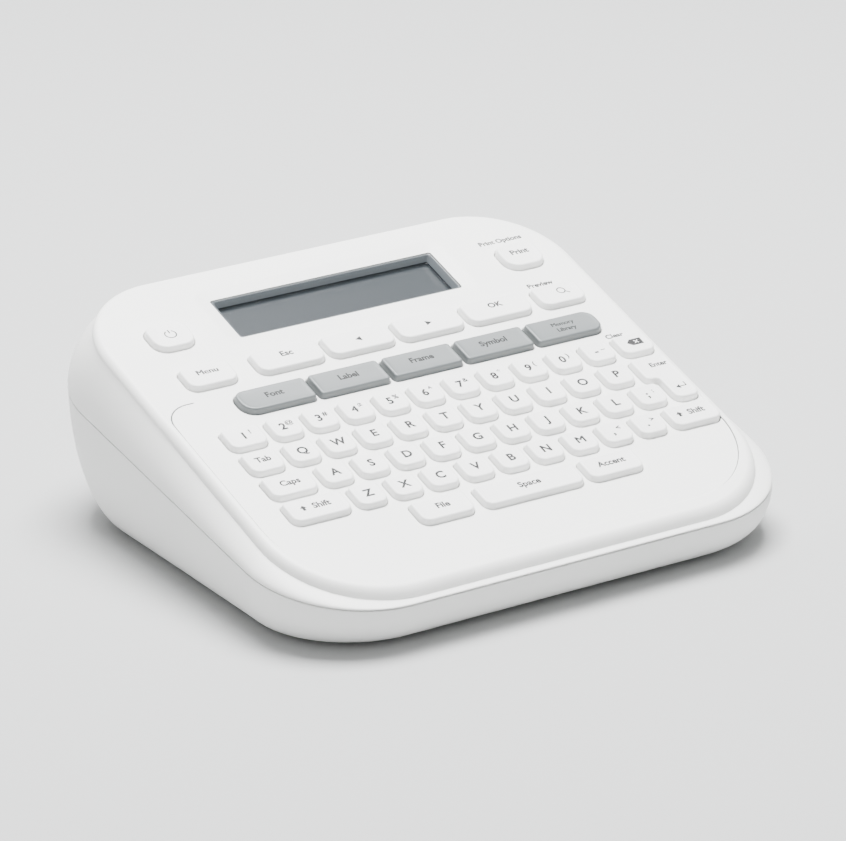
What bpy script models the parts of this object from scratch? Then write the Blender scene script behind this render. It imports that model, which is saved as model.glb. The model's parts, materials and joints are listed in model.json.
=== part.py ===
"""A desktop label maker with a sloping keyboard, built as separate pieces.

X runs to the right, Y to the back and Z up. The origin is at the middle of the footprint, at the feet.
The deck is the sloping top. Its own coordinates are x, v up the slope from the number row, and n out of it.
"""

import math

import bmesh
import bpy
from mathutils import Matrix, Vector

MM = 0.001

# Overall sizes
WIDTH = 188 * MM
DEPTH = 178 * MM
HEIGHT = 72 * MM
FRONT_HEIGHT = 19.1 * MM  # deck height at its front edge
WALL = 2.2 * MM
GAP = 0.3 * MM  # between pieces that touch

# The case outline
DECK_LEAN = 5.5 * MM  # how far the sides stand out from the deck's edge at the seam
DECK_FRONT_SET = 2.3 * MM
DECK_BACK_SET = 13 * MM
DECK_RADII = (36 * MM, 31 * MM)  # front and back corners
DECK_EDGE_ROUND = 2.8 * MM
SEAM_RADIUS = 37 * MM
SEAM_FRONT_Z = 15 * MM
SEAM_BACK_Z = 48 * MM
FOOT_HEIGHT = 0.9 * MM
BASE_Z = FOOT_HEIGHT + GAP
BASE_SIDE_SET = 10 * MM  # how far the flat underside is inside the seam
BASE_FRONT_SET = 12 * MM
BASE_BACK_SET = 19 * MM
BASE_RADIUS = 30 * MM
CORNER_STEPS = 6
SIDE_STEPS = 4

# Keys, in deck coordinates
ROW_TO_BACK = 87.5 * MM  # from the number row up to the deck's back edge
KEY_PITCH = 13.1 * MM
KEY_SPACE = (2.5 * MM, 2.7 * MM)  # between two caps, across and up the slope
KEY_WIDE = KEY_PITCH - KEY_SPACE[0]
KEY_TALL = KEY_PITCH - KEY_SPACE[1]
KEY_RISE = 2.0 * MM
KEY_TRAVEL = 1.2 * MM
KEY_GAP = 0.35 * MM
FLANGE = 0.5 * MM
FLANGE_THICK = 0.8 * MM
CAP_EDGE = 0.5 * MM
KEY_FOOT_RADIUS = 3.2 * MM  # a cap's two near corners
KEY_HEAD_RADIUS = 1.4 * MM  # its two far corners
SHEET_THICK = 1.0 * MM
BOARD_THICK = 1.6 * MM

# Display, in deck coordinates
DISPLAY_X = (-40.5 * MM, 43 * MM)
DISPLAY_V = (50.5 * MM, 71 * MM)
BEZEL_SLOPE = 1.4 * MM
BEZEL_LIP = 1.5 * MM
WINDOW_THICK = 0.8 * MM
LCD_THICK = 3.2 * MM

# Back cover, cassette and batteries
COVER_X = (-64 * MM, 78.5 * MM)
COVER_TO_BACK = 18 * MM  # from the deck's back edge forward to the cover's back edge
COVER_DEPTH = 102 * MM
COVER_THICK = 2.0 * MM
COVER_RADIUS = 6 * MM
COVER_GAP = 0.4 * MM
CASSETTE_LENGTH = 86 * MM
CASSETTE_WIDTH = 66 * MM
CASSETTE_THICK = 18 * MM
CASSETTE_X = -46 * MM  # its head side
CASSETTE_WALL = 1.2 * MM
CASSETTE_CLEAR = 1.4 * MM
HEAD_NOTCH_DEPTH = 8 * MM
HEAD_NOTCH = (10 * MM, 34 * MM)  # from the cassette's back end
TAPE_SPOOL_RADIUS = 19 * MM
TAPE_POST_RADIUS = 5 * MM
RIBBON_SPOOL_RADIUS = 6 * MM
CELL_DIAMETER = 14.5 * MM
CELL_LENGTH = 50.5 * MM
CELL_COUNT = 6
CELL_CLEAR = 0.8 * MM
CONTACT_SPACE = 3.9 * MM
BAY_WALL = 1.3 * MM
BAY_X = 23 * MM
BAY_CLEAR = 1.0 * MM

# Mechanism
PLATE_THICK = 2.0 * MM
GEAR_THICK = 3.5 * MM
GEAR_MODULE = 1.0 * MM
GEAR_TIP = 0.8  # tooth height above the pitch circle, in modules
GEAR_ROOT = 1.15  # tooth depth below it, in modules
PINION_TEETH = 10
IDLER_TEETH = 24
FEED_TEETH = 20
RIBBON_TEETH = 24
PIN_RADIUS = 1.5 * MM
PIN_CLEAR = 0.3 * MM
HUB_WALL = 1.6 * MM
POST_RADIUS = 3 * MM
PLATEN_RADIUS = 4 * MM
FEED_ROLLER_RADIUS = 3.2 * MM
ROLLER_SHAFT = 1.0 * MM
HOLDER_THICK = 1.2 * MM
HEAD_THICK = 1.2 * MM
MOTOR_RADIUS = 9 * MM
MOTOR_LIFT = 4 * MM  # its underside above the floor, clear of the rounded wall
BLADE_TRAVEL = 3.0 * MM
BUTTON_TRAVEL = 4.0 * MM
BUTTON_X = (-68 * MM, -60 * MM)
BUTTON_Z = (9 * MM, 21 * MM)
SLOT_WIDE = 5.2 * MM
JACK_X = 40 * MM
USB_X = 60 * MM
SOCKET_Z = 30 * MM
FOOT_RADIUS = 4 * MM

# Worked out from the above
HALF_WIDTH = WIDTH / 2
FRONT_Y = -DEPTH / 2
BACK_Y = DEPTH / 2
DECK_FRONT_Y = FRONT_Y + DECK_FRONT_SET
DECK_BACK_Y = BACK_Y - DECK_BACK_SET
SLOPE = math.atan((HEIGHT - FRONT_HEIGHT) / (DECK_BACK_Y - DECK_FRONT_Y))
ROW_Y = DECK_BACK_Y - ROW_TO_BACK * math.cos(SLOPE)
ROW_Z = HEIGHT - ROW_TO_BACK * math.sin(SLOPE)
DECK = Matrix.Translation((0, ROW_Y, ROW_Z)) @ Matrix.Rotation(SLOPE, 4, "X")
FLANGE_TOP = -(WALL + GAP)
SHEET_TOP = FLANGE_TOP - FLANGE_THICK - KEY_TRAVEL - GAP
BOARD_TOP = SHEET_TOP - SHEET_THICK - GAP
FLOOR_TOP = BASE_Z + WALL
COVER_Y = (DECK_BACK_Y - COVER_TO_BACK - COVER_DEPTH, DECK_BACK_Y - COVER_TO_BACK)
CASSETTE_Z = BASE_Z + COVER_THICK + CASSETTE_CLEAR
CASSETTE_TOP = CASSETTE_Z + CASSETTE_THICK
CASSETTE_Y1 = COVER_Y[1] - 2 * MM
CASSETTE_Y0 = CASSETTE_Y1 - CASSETTE_LENGTH
CASSETTE_X1 = CASSETTE_X + CASSETTE_WIDTH
PLATE_Z = CASSETTE_TOP + CASSETTE_CLEAR
PLATE_TOP = PLATE_Z + PLATE_THICK
GEAR_Z = PLATE_TOP + GAP
FEED_AT = Vector((CASSETTE_X + 5.3 * MM, CASSETTE_Y1 - 6.6 * MM))


def pitch_radius(teeth):
    return teeth * GEAR_MODULE / 2


def beside(start, first_teeth, second_teeth, degrees):
    """Where a gear meshes with the one at start, in the direction given."""
    reach = pitch_radius(first_teeth) + pitch_radius(second_teeth)
    angle = math.radians(degrees)
    return start + reach * Vector((math.cos(angle), math.sin(angle)))


RIBBON_DIRECTION = -60
IDLER_DIRECTION = 213
MOTOR_DIRECTION = 171
RIBBON_AT = beside(FEED_AT, FEED_TEETH, RIBBON_TEETH, RIBBON_DIRECTION)
IDLER_AT = beside(FEED_AT, FEED_TEETH, IDLER_TEETH, IDLER_DIRECTION)
MOTOR_AT = beside(IDLER_AT, IDLER_TEETH, PINION_TEETH, MOTOR_DIRECTION)
HEAD_X = CASSETTE_X + 1.7 * MM  # the print head's working face
PLATEN_AT = Vector((HEAD_X - GAP - PLATEN_RADIUS, CASSETTE_Y1 - 22 * MM))
FEED_ROLLER_AT = Vector((CASSETTE_X - GAP - FEED_ROLLER_RADIUS, CASSETTE_Y1 - 4 * MM))
HOLDER_PIN = Vector((CASSETTE_X - 14 * MM, CASSETTE_Y1 - 46 * MM))
LEVER_PIN = Vector((CASSETTE_X - 12 * MM, CASSETTE_Y1 - 64 * MM))
TAPE_X = CASSETTE_X - 1.6 * MM  # where the tape leaves
TAPE_SPOOL_AT = Vector((CASSETTE_X1 - 24 * MM, CASSETTE_Y0 + 26 * MM))


# ---- small modelling tools ----


def colour(text):
    """A colour written as sRGB hex, as the linear values a shader takes."""
    channels = [int(text[i : i + 2], 16) / 255 for i in (0, 2, 4)]
    linear = [c / 12.92 if c <= 0.04045 else ((c + 0.055) / 1.055) ** 2.4 for c in channels]
    return (*linear, 1)


FINISHES = {
    "white": ("F1F1EE", 0.45, 0.0),
    "keycap": ("F4F4F1", 0.4, 0.0),
    "grey_key": ("B5BABA", 0.45, 0.0),
    "bezel": ("8A8F92", 0.4, 0.0),
    "window": ("A9B0B2", 0.1, 0.0),
    "lcd": ("8A9093", 0.25, 0.0),
    "board": ("2F6B45", 0.5, 0.0),
    "rubber": ("5A5C5E", 0.8, 0.0),
    "dark_rubber": ("262729", 0.85, 0.0),
    "frame": ("2E2F31", 0.6, 0.0),
    "steel": ("B9BCBF", 0.3, 1.0),
    "ceramic": ("D8D4C8", 0.3, 0.0),
    "gear": ("E7E4DA", 0.5, 0.0),
    "cassette": ("4A4B4D", 0.5, 0.0),
    "tape": ("ECECE8", 0.4, 0.0),
    "green": ("8DB53C", 0.4, 0.0),
    "black": ("1C1D1F", 0.45, 0.0),
    "brass": ("C8A45A", 0.3, 1.0),
}


def make_materials():
    made = {}
    for name, (hex_text, roughness, metallic) in FINISHES.items():
        material = bpy.data.materials.new(name)
        material.use_nodes = True
        shader = material.node_tree.nodes["Principled BSDF"]
        shader.inputs["Base Color"].default_value = colour(hex_text)
        shader.inputs["Roughness"].default_value = roughness
        shader.inputs["Metallic"].default_value = metallic
        made[name] = material
    return made


def rounded(x0, x1, y0, y1, radii, steps):
    """A rectangle's outline, anticlockwise from its near left corner. radii are its near and far corners'."""
    near, far = radii
    corners = (
        (x0 + near, y0 + near, near, 180),
        (x1 - near, y0 + near, near, 270),
        (x1 - far, y1 - far, far, 0),
        (x0 + far, y1 - far, far, 90),
    )
    points = []
    for centre_x, centre_y, radius, start in corners:
        for step in range(steps + 1):
            angle = math.radians(start + 90 * step / steps)
            x = centre_x + radius * math.cos(angle)
            y = centre_y + radius * math.sin(angle)
            points.append(Vector((x, y)))
    return points


def box_outline(x0, x1, y0, y1):
    return [Vector(p) for p in ((x0, y0), (x1, y0), (x1, y1), (x0, y1))]


def circle(centre, radius, sides):
    turns = [math.tau * i / sides for i in range(sides)]
    return [Vector((centre[0] + radius * math.cos(t), centre[1] + radius * math.sin(t))) for t in turns]


def at_height(points, z):
    return [Vector((p[0], p[1], z)) for p in points]


def loft(bm, loops, ring=False):
    """Joins equal loops in order. The first and last are capped, or joined to each other in a ring."""
    made = [[bm.verts.new(p) for p in loop] for loop in loops]
    pairs = list(zip(made, made[1:]))
    if ring:
        pairs.append((made[-1], made[0]))
    else:
        bm.faces.new(made[0])
        bm.faces.new(made[-1])
    for lower, upper in pairs:
        for i in range(len(lower)):
            j = (i + 1) % len(lower)
            bm.faces.new((lower[i], lower[j], upper[j], upper[i]))


def prism(bm, points, z0, z1):
    loft(bm, [at_height(points, z0), at_height(points, z1)])


def block(bm, x, y, z):
    prism(bm, box_outline(x[0], x[1], y[0], y[1]), z[0], z[1])


def turned(bm, centre, profile, sides=20, ring=False, along=None):
    """A turned shape from (radius, height) steps, about Z through centre or about the axis that along gives."""
    loops = [at_height(circle((0, 0), radius, sides), height) for radius, height in profile]
    place = along or Matrix.Translation((centre[0], centre[1], 0))
    loft(bm, [[place @ p for p in loop] for loop in loops], ring)


def spread(bm, matrix):
    bmesh.ops.transform(bm, matrix=matrix, verts=bm.verts)
    return bm


def make(name, bm, material, pivot=(0, 0, 0), smooth=False):
    """One named object, with its origin at its pivot."""
    bmesh.ops.recalc_face_normals(bm, faces=bm.faces)
    spread(bm, Matrix.Translation(-Vector(pivot)))
    mesh = bpy.data.meshes.new(name)
    bm.to_mesh(mesh)
    bm.free()
    mesh.materials.append(material)
    if smooth:
        mesh.shade_smooth()
        mesh.set_sharp_from_angle(angle=math.radians(32))
    obj = bpy.data.objects.new(name, mesh)
    obj.location = pivot
    bpy.context.scene.collection.objects.link(obj)
    return obj


def combine(obj, bm, operation):
    """Adds shapes to an object or cuts them from it, with a Boolean and a hidden helper."""
    helper = make(f"{obj.name}_{operation.lower()}_{len(obj.modifiers)}", bm, obj.data.materials[0])
    helper.hide_render = True
    helper.display_type = "WIRE"
    modifier = obj.modifiers.new(operation.title(), "BOOLEAN")
    modifier.operation = operation
    modifier.object = helper


# ---- the case ----


def deck_height(y):
    return HEIGHT - (DECK_BACK_Y - y) * math.tan(SLOPE)


def seam_height(y):
    return SEAM_FRONT_Z + (SEAM_BACK_Z - SEAM_FRONT_Z) * (y - FRONT_Y) / DEPTH


def deck_loop(inset, drop):
    half = HALF_WIDTH - DECK_LEAN - inset
    radii = (DECK_RADII[0] - inset, DECK_RADII[1] - inset)
    outline = rounded(-half, half, DECK_FRONT_Y + inset, DECK_BACK_Y - inset, radii, CORNER_STEPS)
    return [Vector((p.x, p.y, deck_height(p.y) - drop)) for p in outline]


def seam_loop(inset, lift):
    half = HALF_WIDTH - inset
    radius = SEAM_RADIUS - inset
    outline = rounded(-half, half, FRONT_Y + inset, BACK_Y - inset, (radius, radius), CORNER_STEPS)
    return [Vector((p.x, p.y, seam_height(p.y) + lift)) for p in outline]


def base_loop(inset, z):
    half = HALF_WIDTH - BASE_SIDE_SET - inset
    radius = BASE_RADIUS - inset
    near = FRONT_Y + BASE_FRONT_SET + inset
    far = BACK_Y - BASE_BACK_SET - inset
    return at_height(rounded(-half, half, near, far, (radius, radius), CORNER_STEPS), z)


def between(first, second, outward, along):
    """A loop part of the way from one loop to another, with the plan and the height blended apart."""
    made = []
    for a, b in zip(first, second):
        plan = a.lerp(b, outward)
        made.append(Vector((plan.x, plan.y, a.z + (b.z - a.z) * along)))
    return made


def upper_shell(bm):
    """The outer skin from the deck down to the seam, then the inner skin back up."""
    outer = []
    for step in range(4):
        angle = math.radians(90 * step / 3)
        inset = DECK_EDGE_ROUND * (1 - math.sin(angle))
        drop = DECK_EDGE_ROUND * (1 - math.cos(angle))
        outer.append(deck_loop(inset, drop))
    seam = seam_loop(0, GAP / 2)
    for step in range(1, SIDE_STEPS):
        along = step / SIDE_STEPS
        outer.append(between(outer[3], seam, 1 - (1 - along) ** 2, along))
    outer.append(seam)
    thick = WALL / math.cos(SLOPE)
    inner = [seam_loop(WALL, GAP / 2)]
    inner.append(between(deck_loop(WALL, thick), inner[0], 0.6, 0.4))
    inner.append(deck_loop(WALL, thick))
    loft(bm, outer + inner)


def lower_shell(bm):
    """The outer skin from the flat underside up to the seam, then the inner skin back down."""
    seam = seam_loop(0, -GAP / 2)
    base = base_loop(0, BASE_Z)
    outer = []
    steps = 6
    for step in range(steps + 1):
        angle = math.radians(90 * step / steps)
        outer.append(between(base, seam, math.sin(angle), 1 - math.cos(angle)))
    inside_seam = seam_loop(WALL, -GAP / 2)
    inside_base = base_loop(WALL / 2, FLOOR_TOP)
    inner = []
    for step in (3, 2, 1, 0):
        angle = math.radians(30 * step)
        inner.append(between(inside_base, inside_seam, math.sin(angle), 1 - math.cos(angle)))
    loft(bm, outer + inner)


# ---- keys ----


def cap_outline(cap, grow):
    """The outline of a key's cap, grown all round. cap is its x and v limits and its corner radii."""
    x0, x1, v0, v1, radii = cap
    near, far = (radius + grow for radius in radii)
    return rounded(x0 - grow, x1 + grow, v0 - grow, v1 + grow, (near, far), 2)


def key_cap(x, v, wide=KEY_WIDE, tall=KEY_TALL, radii=(KEY_FOOT_RADIUS, KEY_HEAD_RADIUS)):
    return (x - wide / 2, x + wide / 2, v - tall / 2, v + tall / 2, radii)


def span_cap(x0, x1, v, tall=KEY_TALL, radii=(KEY_FOOT_RADIUS, KEY_HEAD_RADIUS)):
    return (x0, x1, v - tall / 2, v + tall / 2, radii)


def row_caps(left, row, count):
    return [key_cap(left + KEY_WIDE / 2 + i * KEY_PITCH, -row * KEY_PITCH) for i in range(count)]


ROWS = {
    "keys_number_row": row_caps(-58.5 * MM, 0, 10),
    "keys_top_row": row_caps(-59.7 * MM, 1, 10),
    "keys_home_row": row_caps(-55.4 * MM, 2, 10),
    "keys_bottom_row": row_caps(-51.0 * MM, 3, 9),
}
ROW_ENDS = [(caps[0][0] - KEY_SPACE[0], caps[-1][1] + KEY_SPACE[0]) for caps in ROWS.values()]
LAST_ROW_V = -4.05 * KEY_PITCH
KEYS_RIGHT = 85 * MM
KEYS_LEFT = -74.5 * MM
FUNCTION_V = 16 * MM
FUNCTION_TALL = 11 * MM
FUNCTION_WIDE = 26 * MM
FUNCTION_PITCH = 27.4 * MM
FUNCTION_X = 6.8 * MM
SOFT_RADII = (2.2 * MM, 2.2 * MM)
MENU_V = 33 * MM
ARROW_PITCH = 26.4 * MM
ARROW_X = -33.5 * MM
ARROW_WIDE = 24.5 * MM
POWER_AT = (-64 * MM, 56 * MM)
PRINT_AT = (70 * MM, 57 * MM)
ROUND_KEY = (15 * MM, 13 * MM)
ROUND_RADII = (5 * MM, 4 * MM)
MENU_RADII = (3.6 * MM, 2.2 * MM)


def function_cap(place):
    return key_cap(FUNCTION_X + place * FUNCTION_PITCH, FUNCTION_V, FUNCTION_WIDE, FUNCTION_TALL, SOFT_RADII)


def arrow_cap(place):
    return key_cap(ARROW_X + place * ARROW_PITCH, MENU_V, ARROW_WIDE, FUNCTION_TALL, MENU_RADII)


SINGLE_KEYS = {
    "key_one": span_cap(KEYS_LEFT, ROW_ENDS[0][0], 0),
    "key_tab": span_cap(KEYS_LEFT, ROW_ENDS[1][0], -KEY_PITCH),
    "key_caps": span_cap(KEYS_LEFT, ROW_ENDS[2][0], -2 * KEY_PITCH),
    "key_shift_left": span_cap(KEYS_LEFT, ROW_ENDS[3][0], -3 * KEY_PITCH),
    "key_shift_right": span_cap(ROW_ENDS[3][1], KEYS_RIGHT, -3 * KEY_PITCH),
    "key_backspace": span_cap(ROW_ENDS[0][1], KEYS_RIGHT, 0),
    "key_file": span_cap(-36.5 * MM, -17 * MM, LAST_ROW_V),
    "key_space": span_cap(-13.4 * MM, 23.5 * MM, LAST_ROW_V),
    "key_accent": span_cap(25.7 * MM, 46 * MM, LAST_ROW_V),
    "key_font": function_cap(-2),
    "key_label": function_cap(-1),
    "key_frame": function_cap(0),
    "key_symbol": function_cap(1),
    "key_memory": function_cap(2),
    "key_menu": span_cap(-71.5 * MM, -53.5 * MM, MENU_V, FUNCTION_TALL, MENU_RADII),
    "key_escape": arrow_cap(0),
    "key_left": arrow_cap(1),
    "key_right": arrow_cap(2),
    "key_ok": arrow_cap(3),
    "key_preview": span_cap(61.5 * MM, 79 * MM, MENU_V, FUNCTION_TALL, MENU_RADII),
    "key_power": key_cap(*POWER_AT, *ROUND_KEY, ROUND_RADII),
    "key_print": key_cap(*PRINT_AT, *ROUND_KEY, ROUND_RADII),
}
ENTER_X = (ROW_ENDS[1][1], ROW_ENDS[2][1])  # left edge of its wide and its narrow part
ENTER_V = (-2 * KEY_PITCH - KEY_TALL / 2, -1.5 * KEY_PITCH, -KEY_PITCH + KEY_TALL / 2)


def enter_outline(grow):
    """The step-shaped enter key, which spans two rows."""
    left, narrow = (x - grow for x in ENTER_X)
    right = KEYS_RIGHT + grow
    low, step, high = ENTER_V[0] - grow, ENTER_V[1] - grow, ENTER_V[2] + grow
    points = ((narrow, low), (right, low), (right, high), (left, high), (left, step), (narrow, step))
    return [Vector(p) for p in points]


def key_loops(outline):
    """A retaining flange under the deck, then the cap through its hole."""
    low = FLANGE_TOP - FLANGE_THICK
    steps = ((FLANGE, low), (FLANGE, FLANGE_TOP), (0, FLANGE_TOP), (0, KEY_RISE - CAP_EDGE), (-CAP_EDGE, KEY_RISE))
    return [at_height(outline(grow), n) for grow, n in steps]


def make_single_keys(materials):
    for name, cap in SINGLE_KEYS.items():
        bm = bmesh.new()
        loft(bm, key_loops(lambda grow, cap=cap: cap_outline(cap, grow)))
        finish = "grey_key" if cap[2:4] == function_cap(0)[2:4] else "keycap"
        make(name, spread(bm, DECK), materials[finish], pivot=DECK @ Vector((cap[0], cap[2], 0)))
    bm = bmesh.new()
    loft(bm, key_loops(enter_outline))
    make("key_enter", spread(bm, DECK), materials["keycap"], pivot=DECK @ Vector((ENTER_X[0], ENTER_V[0], 0)))


def make_key_rows(materials):
    """Each letter row is one rubber-backed strip: its caps on a bar under the deck."""
    low = FLANGE_TOP - FLANGE_THICK
    for name, caps in ROWS.items():
        bm = bmesh.new()
        first, last = caps[0], caps[-1]
        bar = box_outline(first[0] - FLANGE, last[1] + FLANGE, first[2] - FLANGE, first[3] + FLANGE)
        prism(bm, bar, low, FLANGE_TOP)
        strip = make(name, spread(bm, DECK), materials["keycap"], pivot=DECK @ Vector((first[0], first[2], 0)))
        bm = bmesh.new()
        steps = ((0, low + FLANGE_THICK / 2), (0, KEY_RISE - CAP_EDGE), (-CAP_EDGE, KEY_RISE))
        for cap in caps:
            loft(bm, [at_height(cap_outline(cap, grow), n) for grow, n in steps])
        combine(strip, spread(bm, DECK), "UNION")


def deck_holes():
    """Cutters for every key's hole and the display's."""
    bm = bmesh.new()
    low = -2 * WALL
    high = 2 * WALL
    for cap in [cap for caps in ROWS.values() for cap in caps] + list(SINGLE_KEYS.values()):
        prism(bm, cap_outline(cap, KEY_GAP), low, high)
    prism(bm, enter_outline(KEY_GAP), low, high)
    prism(bm, display_outline(0), low, high)
    return spread(bm, DECK)


# ---- display and electronics ----


def display_outline(grow):
    return box_outline(DISPLAY_X[0] - grow, DISPLAY_X[1] + grow, DISPLAY_V[0] - grow, DISPLAY_V[1] + grow)


def make_display(materials):
    rim = -GAP
    depth = FLANGE_TOP - FLANGE_THICK
    steps = (
        (-KEY_GAP, rim),
        (-KEY_GAP, FLANGE_TOP),
        (BEZEL_LIP, FLANGE_TOP),
        (BEZEL_LIP, depth),
        (-BEZEL_SLOPE, depth),
        (-BEZEL_SLOPE, depth + GAP),
        (-2 * KEY_GAP, rim),
    )
    bm = bmesh.new()
    loft(bm, [at_height(display_outline(grow), n) for grow, n in steps], ring=True)
    make("display_bezel", spread(bm, DECK), materials["bezel"])
    top = depth - GAP
    bm = bmesh.new()
    prism(bm, display_outline(BEZEL_LIP), top - WINDOW_THICK, top)
    make("display_window", spread(bm, DECK), materials["window"])
    top -= WINDOW_THICK + GAP
    bm = bmesh.new()
    prism(bm, display_outline(BEZEL_LIP), top - LCD_THICK, top)
    make("lcd_module", spread(bm, DECK), materials["lcd"])


def make_electronics(materials):
    """The rubber sheet that the keys press and the board under it."""
    edge = 2 * MM
    low = LAST_ROW_V - KEY_TALL / 2 - edge
    high = MENU_V + FUNCTION_TALL / 2 + edge
    area = box_outline(KEYS_LEFT - edge, KEYS_RIGHT + edge, low, high)
    bm = bmesh.new()
    prism(bm, area, SHEET_TOP - SHEET_THICK, SHEET_TOP)
    make("keypad_sheet", spread(bm, DECK), materials["rubber"])
    bm = bmesh.new()
    prism(bm, area, BOARD_TOP - BOARD_THICK, BOARD_TOP)
    make("circuit_board", spread(bm, DECK), materials["board"])


def from_back(x, z):
    """Places a turned shape on an axis along Y, with its heights measured back along Y."""
    return Matrix.Translation((x, 0, z)) @ Matrix.Rotation(math.radians(-90), 4, "X")


SOCKET_BODY_Y = BACK_Y - 6 * MM
SOCKET_FACE_Y = BACK_Y - 2 * MM
JACK_NOSE = 4.2 * MM
JACK_BORE = 3.1 * MM
JACK_PIN = 1.0 * MM
USB_SIZE = (8.4 * MM, 4.4 * MM)


def make_sockets(materials):
    bm = bmesh.new()
    half = 5.2 * MM
    block(bm, (JACK_X - half, JACK_X + half), (SOCKET_BODY_Y - 12 * MM, SOCKET_BODY_Y), (SOCKET_Z - half, SOCKET_Z + half))
    jack = make("power_jack", bm, materials["black"])
    bm = bmesh.new()
    place = from_back(JACK_X, SOCKET_Z)
    turned(bm, None, ((JACK_NOSE, SOCKET_BODY_Y - 1 * MM), (JACK_NOSE, SOCKET_FACE_Y)), along=place)
    combine(jack, bm, "UNION")
    bm = bmesh.new()
    bore = (
        (JACK_BORE, SOCKET_FACE_Y - 9 * MM),
        (JACK_BORE, BACK_Y),
        (JACK_PIN, BACK_Y),
        (JACK_PIN, SOCKET_FACE_Y - 9 * MM),
    )
    turned(bm, None, bore, ring=True, along=place)
    combine(jack, bm, "DIFFERENCE")
    wide, tall = USB_SIZE
    bm = bmesh.new()
    block(bm, (USB_X - wide / 2, USB_X + wide / 2), (SOCKET_BODY_Y - 8 * MM, SOCKET_FACE_Y), (SOCKET_Z - tall / 2, SOCKET_Z + tall / 2))
    usb = make("usb_socket", bm, materials["steel"])
    bm = bmesh.new()
    thin = 0.6 * MM
    block(
        bm,
        (USB_X - wide / 2 + thin, USB_X + wide / 2 - thin),
        (SOCKET_FACE_Y - 7 * MM, BACK_Y),
        (SOCKET_Z - tall / 2 + thin, SOCKET_Z + tall / 2 - thin),
    )
    combine(usb, bm, "DIFFERENCE")


# ---- cassette, batteries and back cover ----


def cassette_plan():
    """The cassette's outline, with the notch that the print head stands in."""
    notch = (CASSETTE_Y1 - HEAD_NOTCH[1], CASSETTE_Y1 - HEAD_NOTCH[0])
    deep = CASSETTE_X + HEAD_NOTCH_DEPTH
    points = (
        (CASSETTE_X, CASSETTE_Y0),
        (CASSETTE_X1, CASSETTE_Y0),
        (CASSETTE_X1, CASSETTE_Y1),
        (CASSETTE_X, CASSETTE_Y1),
        (CASSETTE_X, notch[1]),
        (deep, notch[1]),
        (deep, notch[0]),
        (CASSETTE_X, notch[0]),
    )
    return [Vector(p) for p in points]


def cassette_pocket():
    """The hollow inside a half shell. The corner that guides the tape out stays solid."""
    wall = CASSETTE_WALL
    notch = CASSETTE_Y1 - HEAD_NOTCH[1] - wall
    deep = CASSETTE_X + HEAD_NOTCH_DEPTH + wall
    points = (
        (CASSETTE_X + wall, CASSETTE_Y0 + wall),
        (CASSETTE_X1 - wall, CASSETTE_Y0 + wall),
        (CASSETTE_X1 - wall, CASSETTE_Y1 - wall),
        (deep, CASSETTE_Y1 - wall),
        (deep, notch),
        (CASSETTE_X + wall, notch),
    )
    return [Vector(p) for p in points]


SPINDLE_RADIUS = 2.6 * MM
FEED_SHAFT = 1.9 * MM
SPINDLE_CLEAR = 0.4 * MM
SPINDLE_FOOT = CASSETTE_Z + 1.2 * MM


def make_cassette(materials):
    middle = (CASSETTE_Z + CASSETTE_TOP) / 2
    halves = (
        ("cassette_lower_case", CASSETTE_Z, middle - GAP / 2, CASSETTE_Z + CASSETTE_WALL, middle + MM),
        ("cassette_upper_case", middle + GAP / 2, CASSETTE_TOP, middle - MM, CASSETTE_TOP - CASSETTE_WALL),
    )
    hollow_top = CASSETTE_TOP - CASSETTE_WALL
    for name, z0, z1, pocket_z0, pocket_z1 in halves:
        bm = bmesh.new()
        prism(bm, cassette_plan(), z0, z1)
        shell = make(name, bm, materials["cassette"])
        bm = bmesh.new()
        prism(bm, cassette_pocket(), pocket_z0, pocket_z1)
        combine(shell, bm, "DIFFERENCE")
        if name == "cassette_upper_case":
            bm = bmesh.new()
            post_low = CASSETTE_Z + CASSETTE_WALL + 2 * MM
            turned(bm, TAPE_SPOOL_AT, ((TAPE_POST_RADIUS, post_low), (TAPE_POST_RADIUS, hollow_top + MM / 2)))
            combine(shell, bm, "UNION")
        bm = bmesh.new()
        ends = (CASSETTE_Z - MM, CASSETTE_TOP + MM)
        for centre, radius in ((FEED_AT, FEED_SHAFT), (RIBBON_AT, SPINDLE_RADIUS)):
            turned(bm, centre, [(radius + SPINDLE_CLEAR, z) for z in ends])
        combine(shell, bm, "DIFFERENCE")
    low = CASSETTE_Z + CASSETTE_WALL + MM
    high = hollow_top - MM
    spools = (
        ("tape_spool", TAPE_SPOOL_AT, TAPE_SPOOL_RADIUS, TAPE_POST_RADIUS, "tape"),
        ("ribbon_spool", RIBBON_AT, RIBBON_SPOOL_RADIUS, SPINDLE_RADIUS, "green"),
    )
    for name, centre, outer, inner, finish in spools:
        bore = inner + SPINDLE_CLEAR
        bm = bmesh.new()
        turned(bm, centre, ((outer, low), (outer, high), (bore, high), (bore, low)), 24, ring=True)
        make(name, bm, materials[finish], pivot=(*centre, low), smooth=True)


BAY_LENGTH = CELL_COUNT * (CELL_DIAMETER + CELL_CLEAR)
BAY_INNER_X = (BAY_X + BAY_WALL, BAY_X + BAY_WALL + CELL_LENGTH + CONTACT_SPACE)
BAY_INNER_Y = (COVER_Y[0] + BAY_CLEAR, COVER_Y[0] + BAY_CLEAR + BAY_LENGTH)
BAY_Z = FLOOR_TOP + 0.8 * MM
BAY_CEILING = BAY_Z + CELL_DIAMETER + 1.5 * MM


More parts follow.
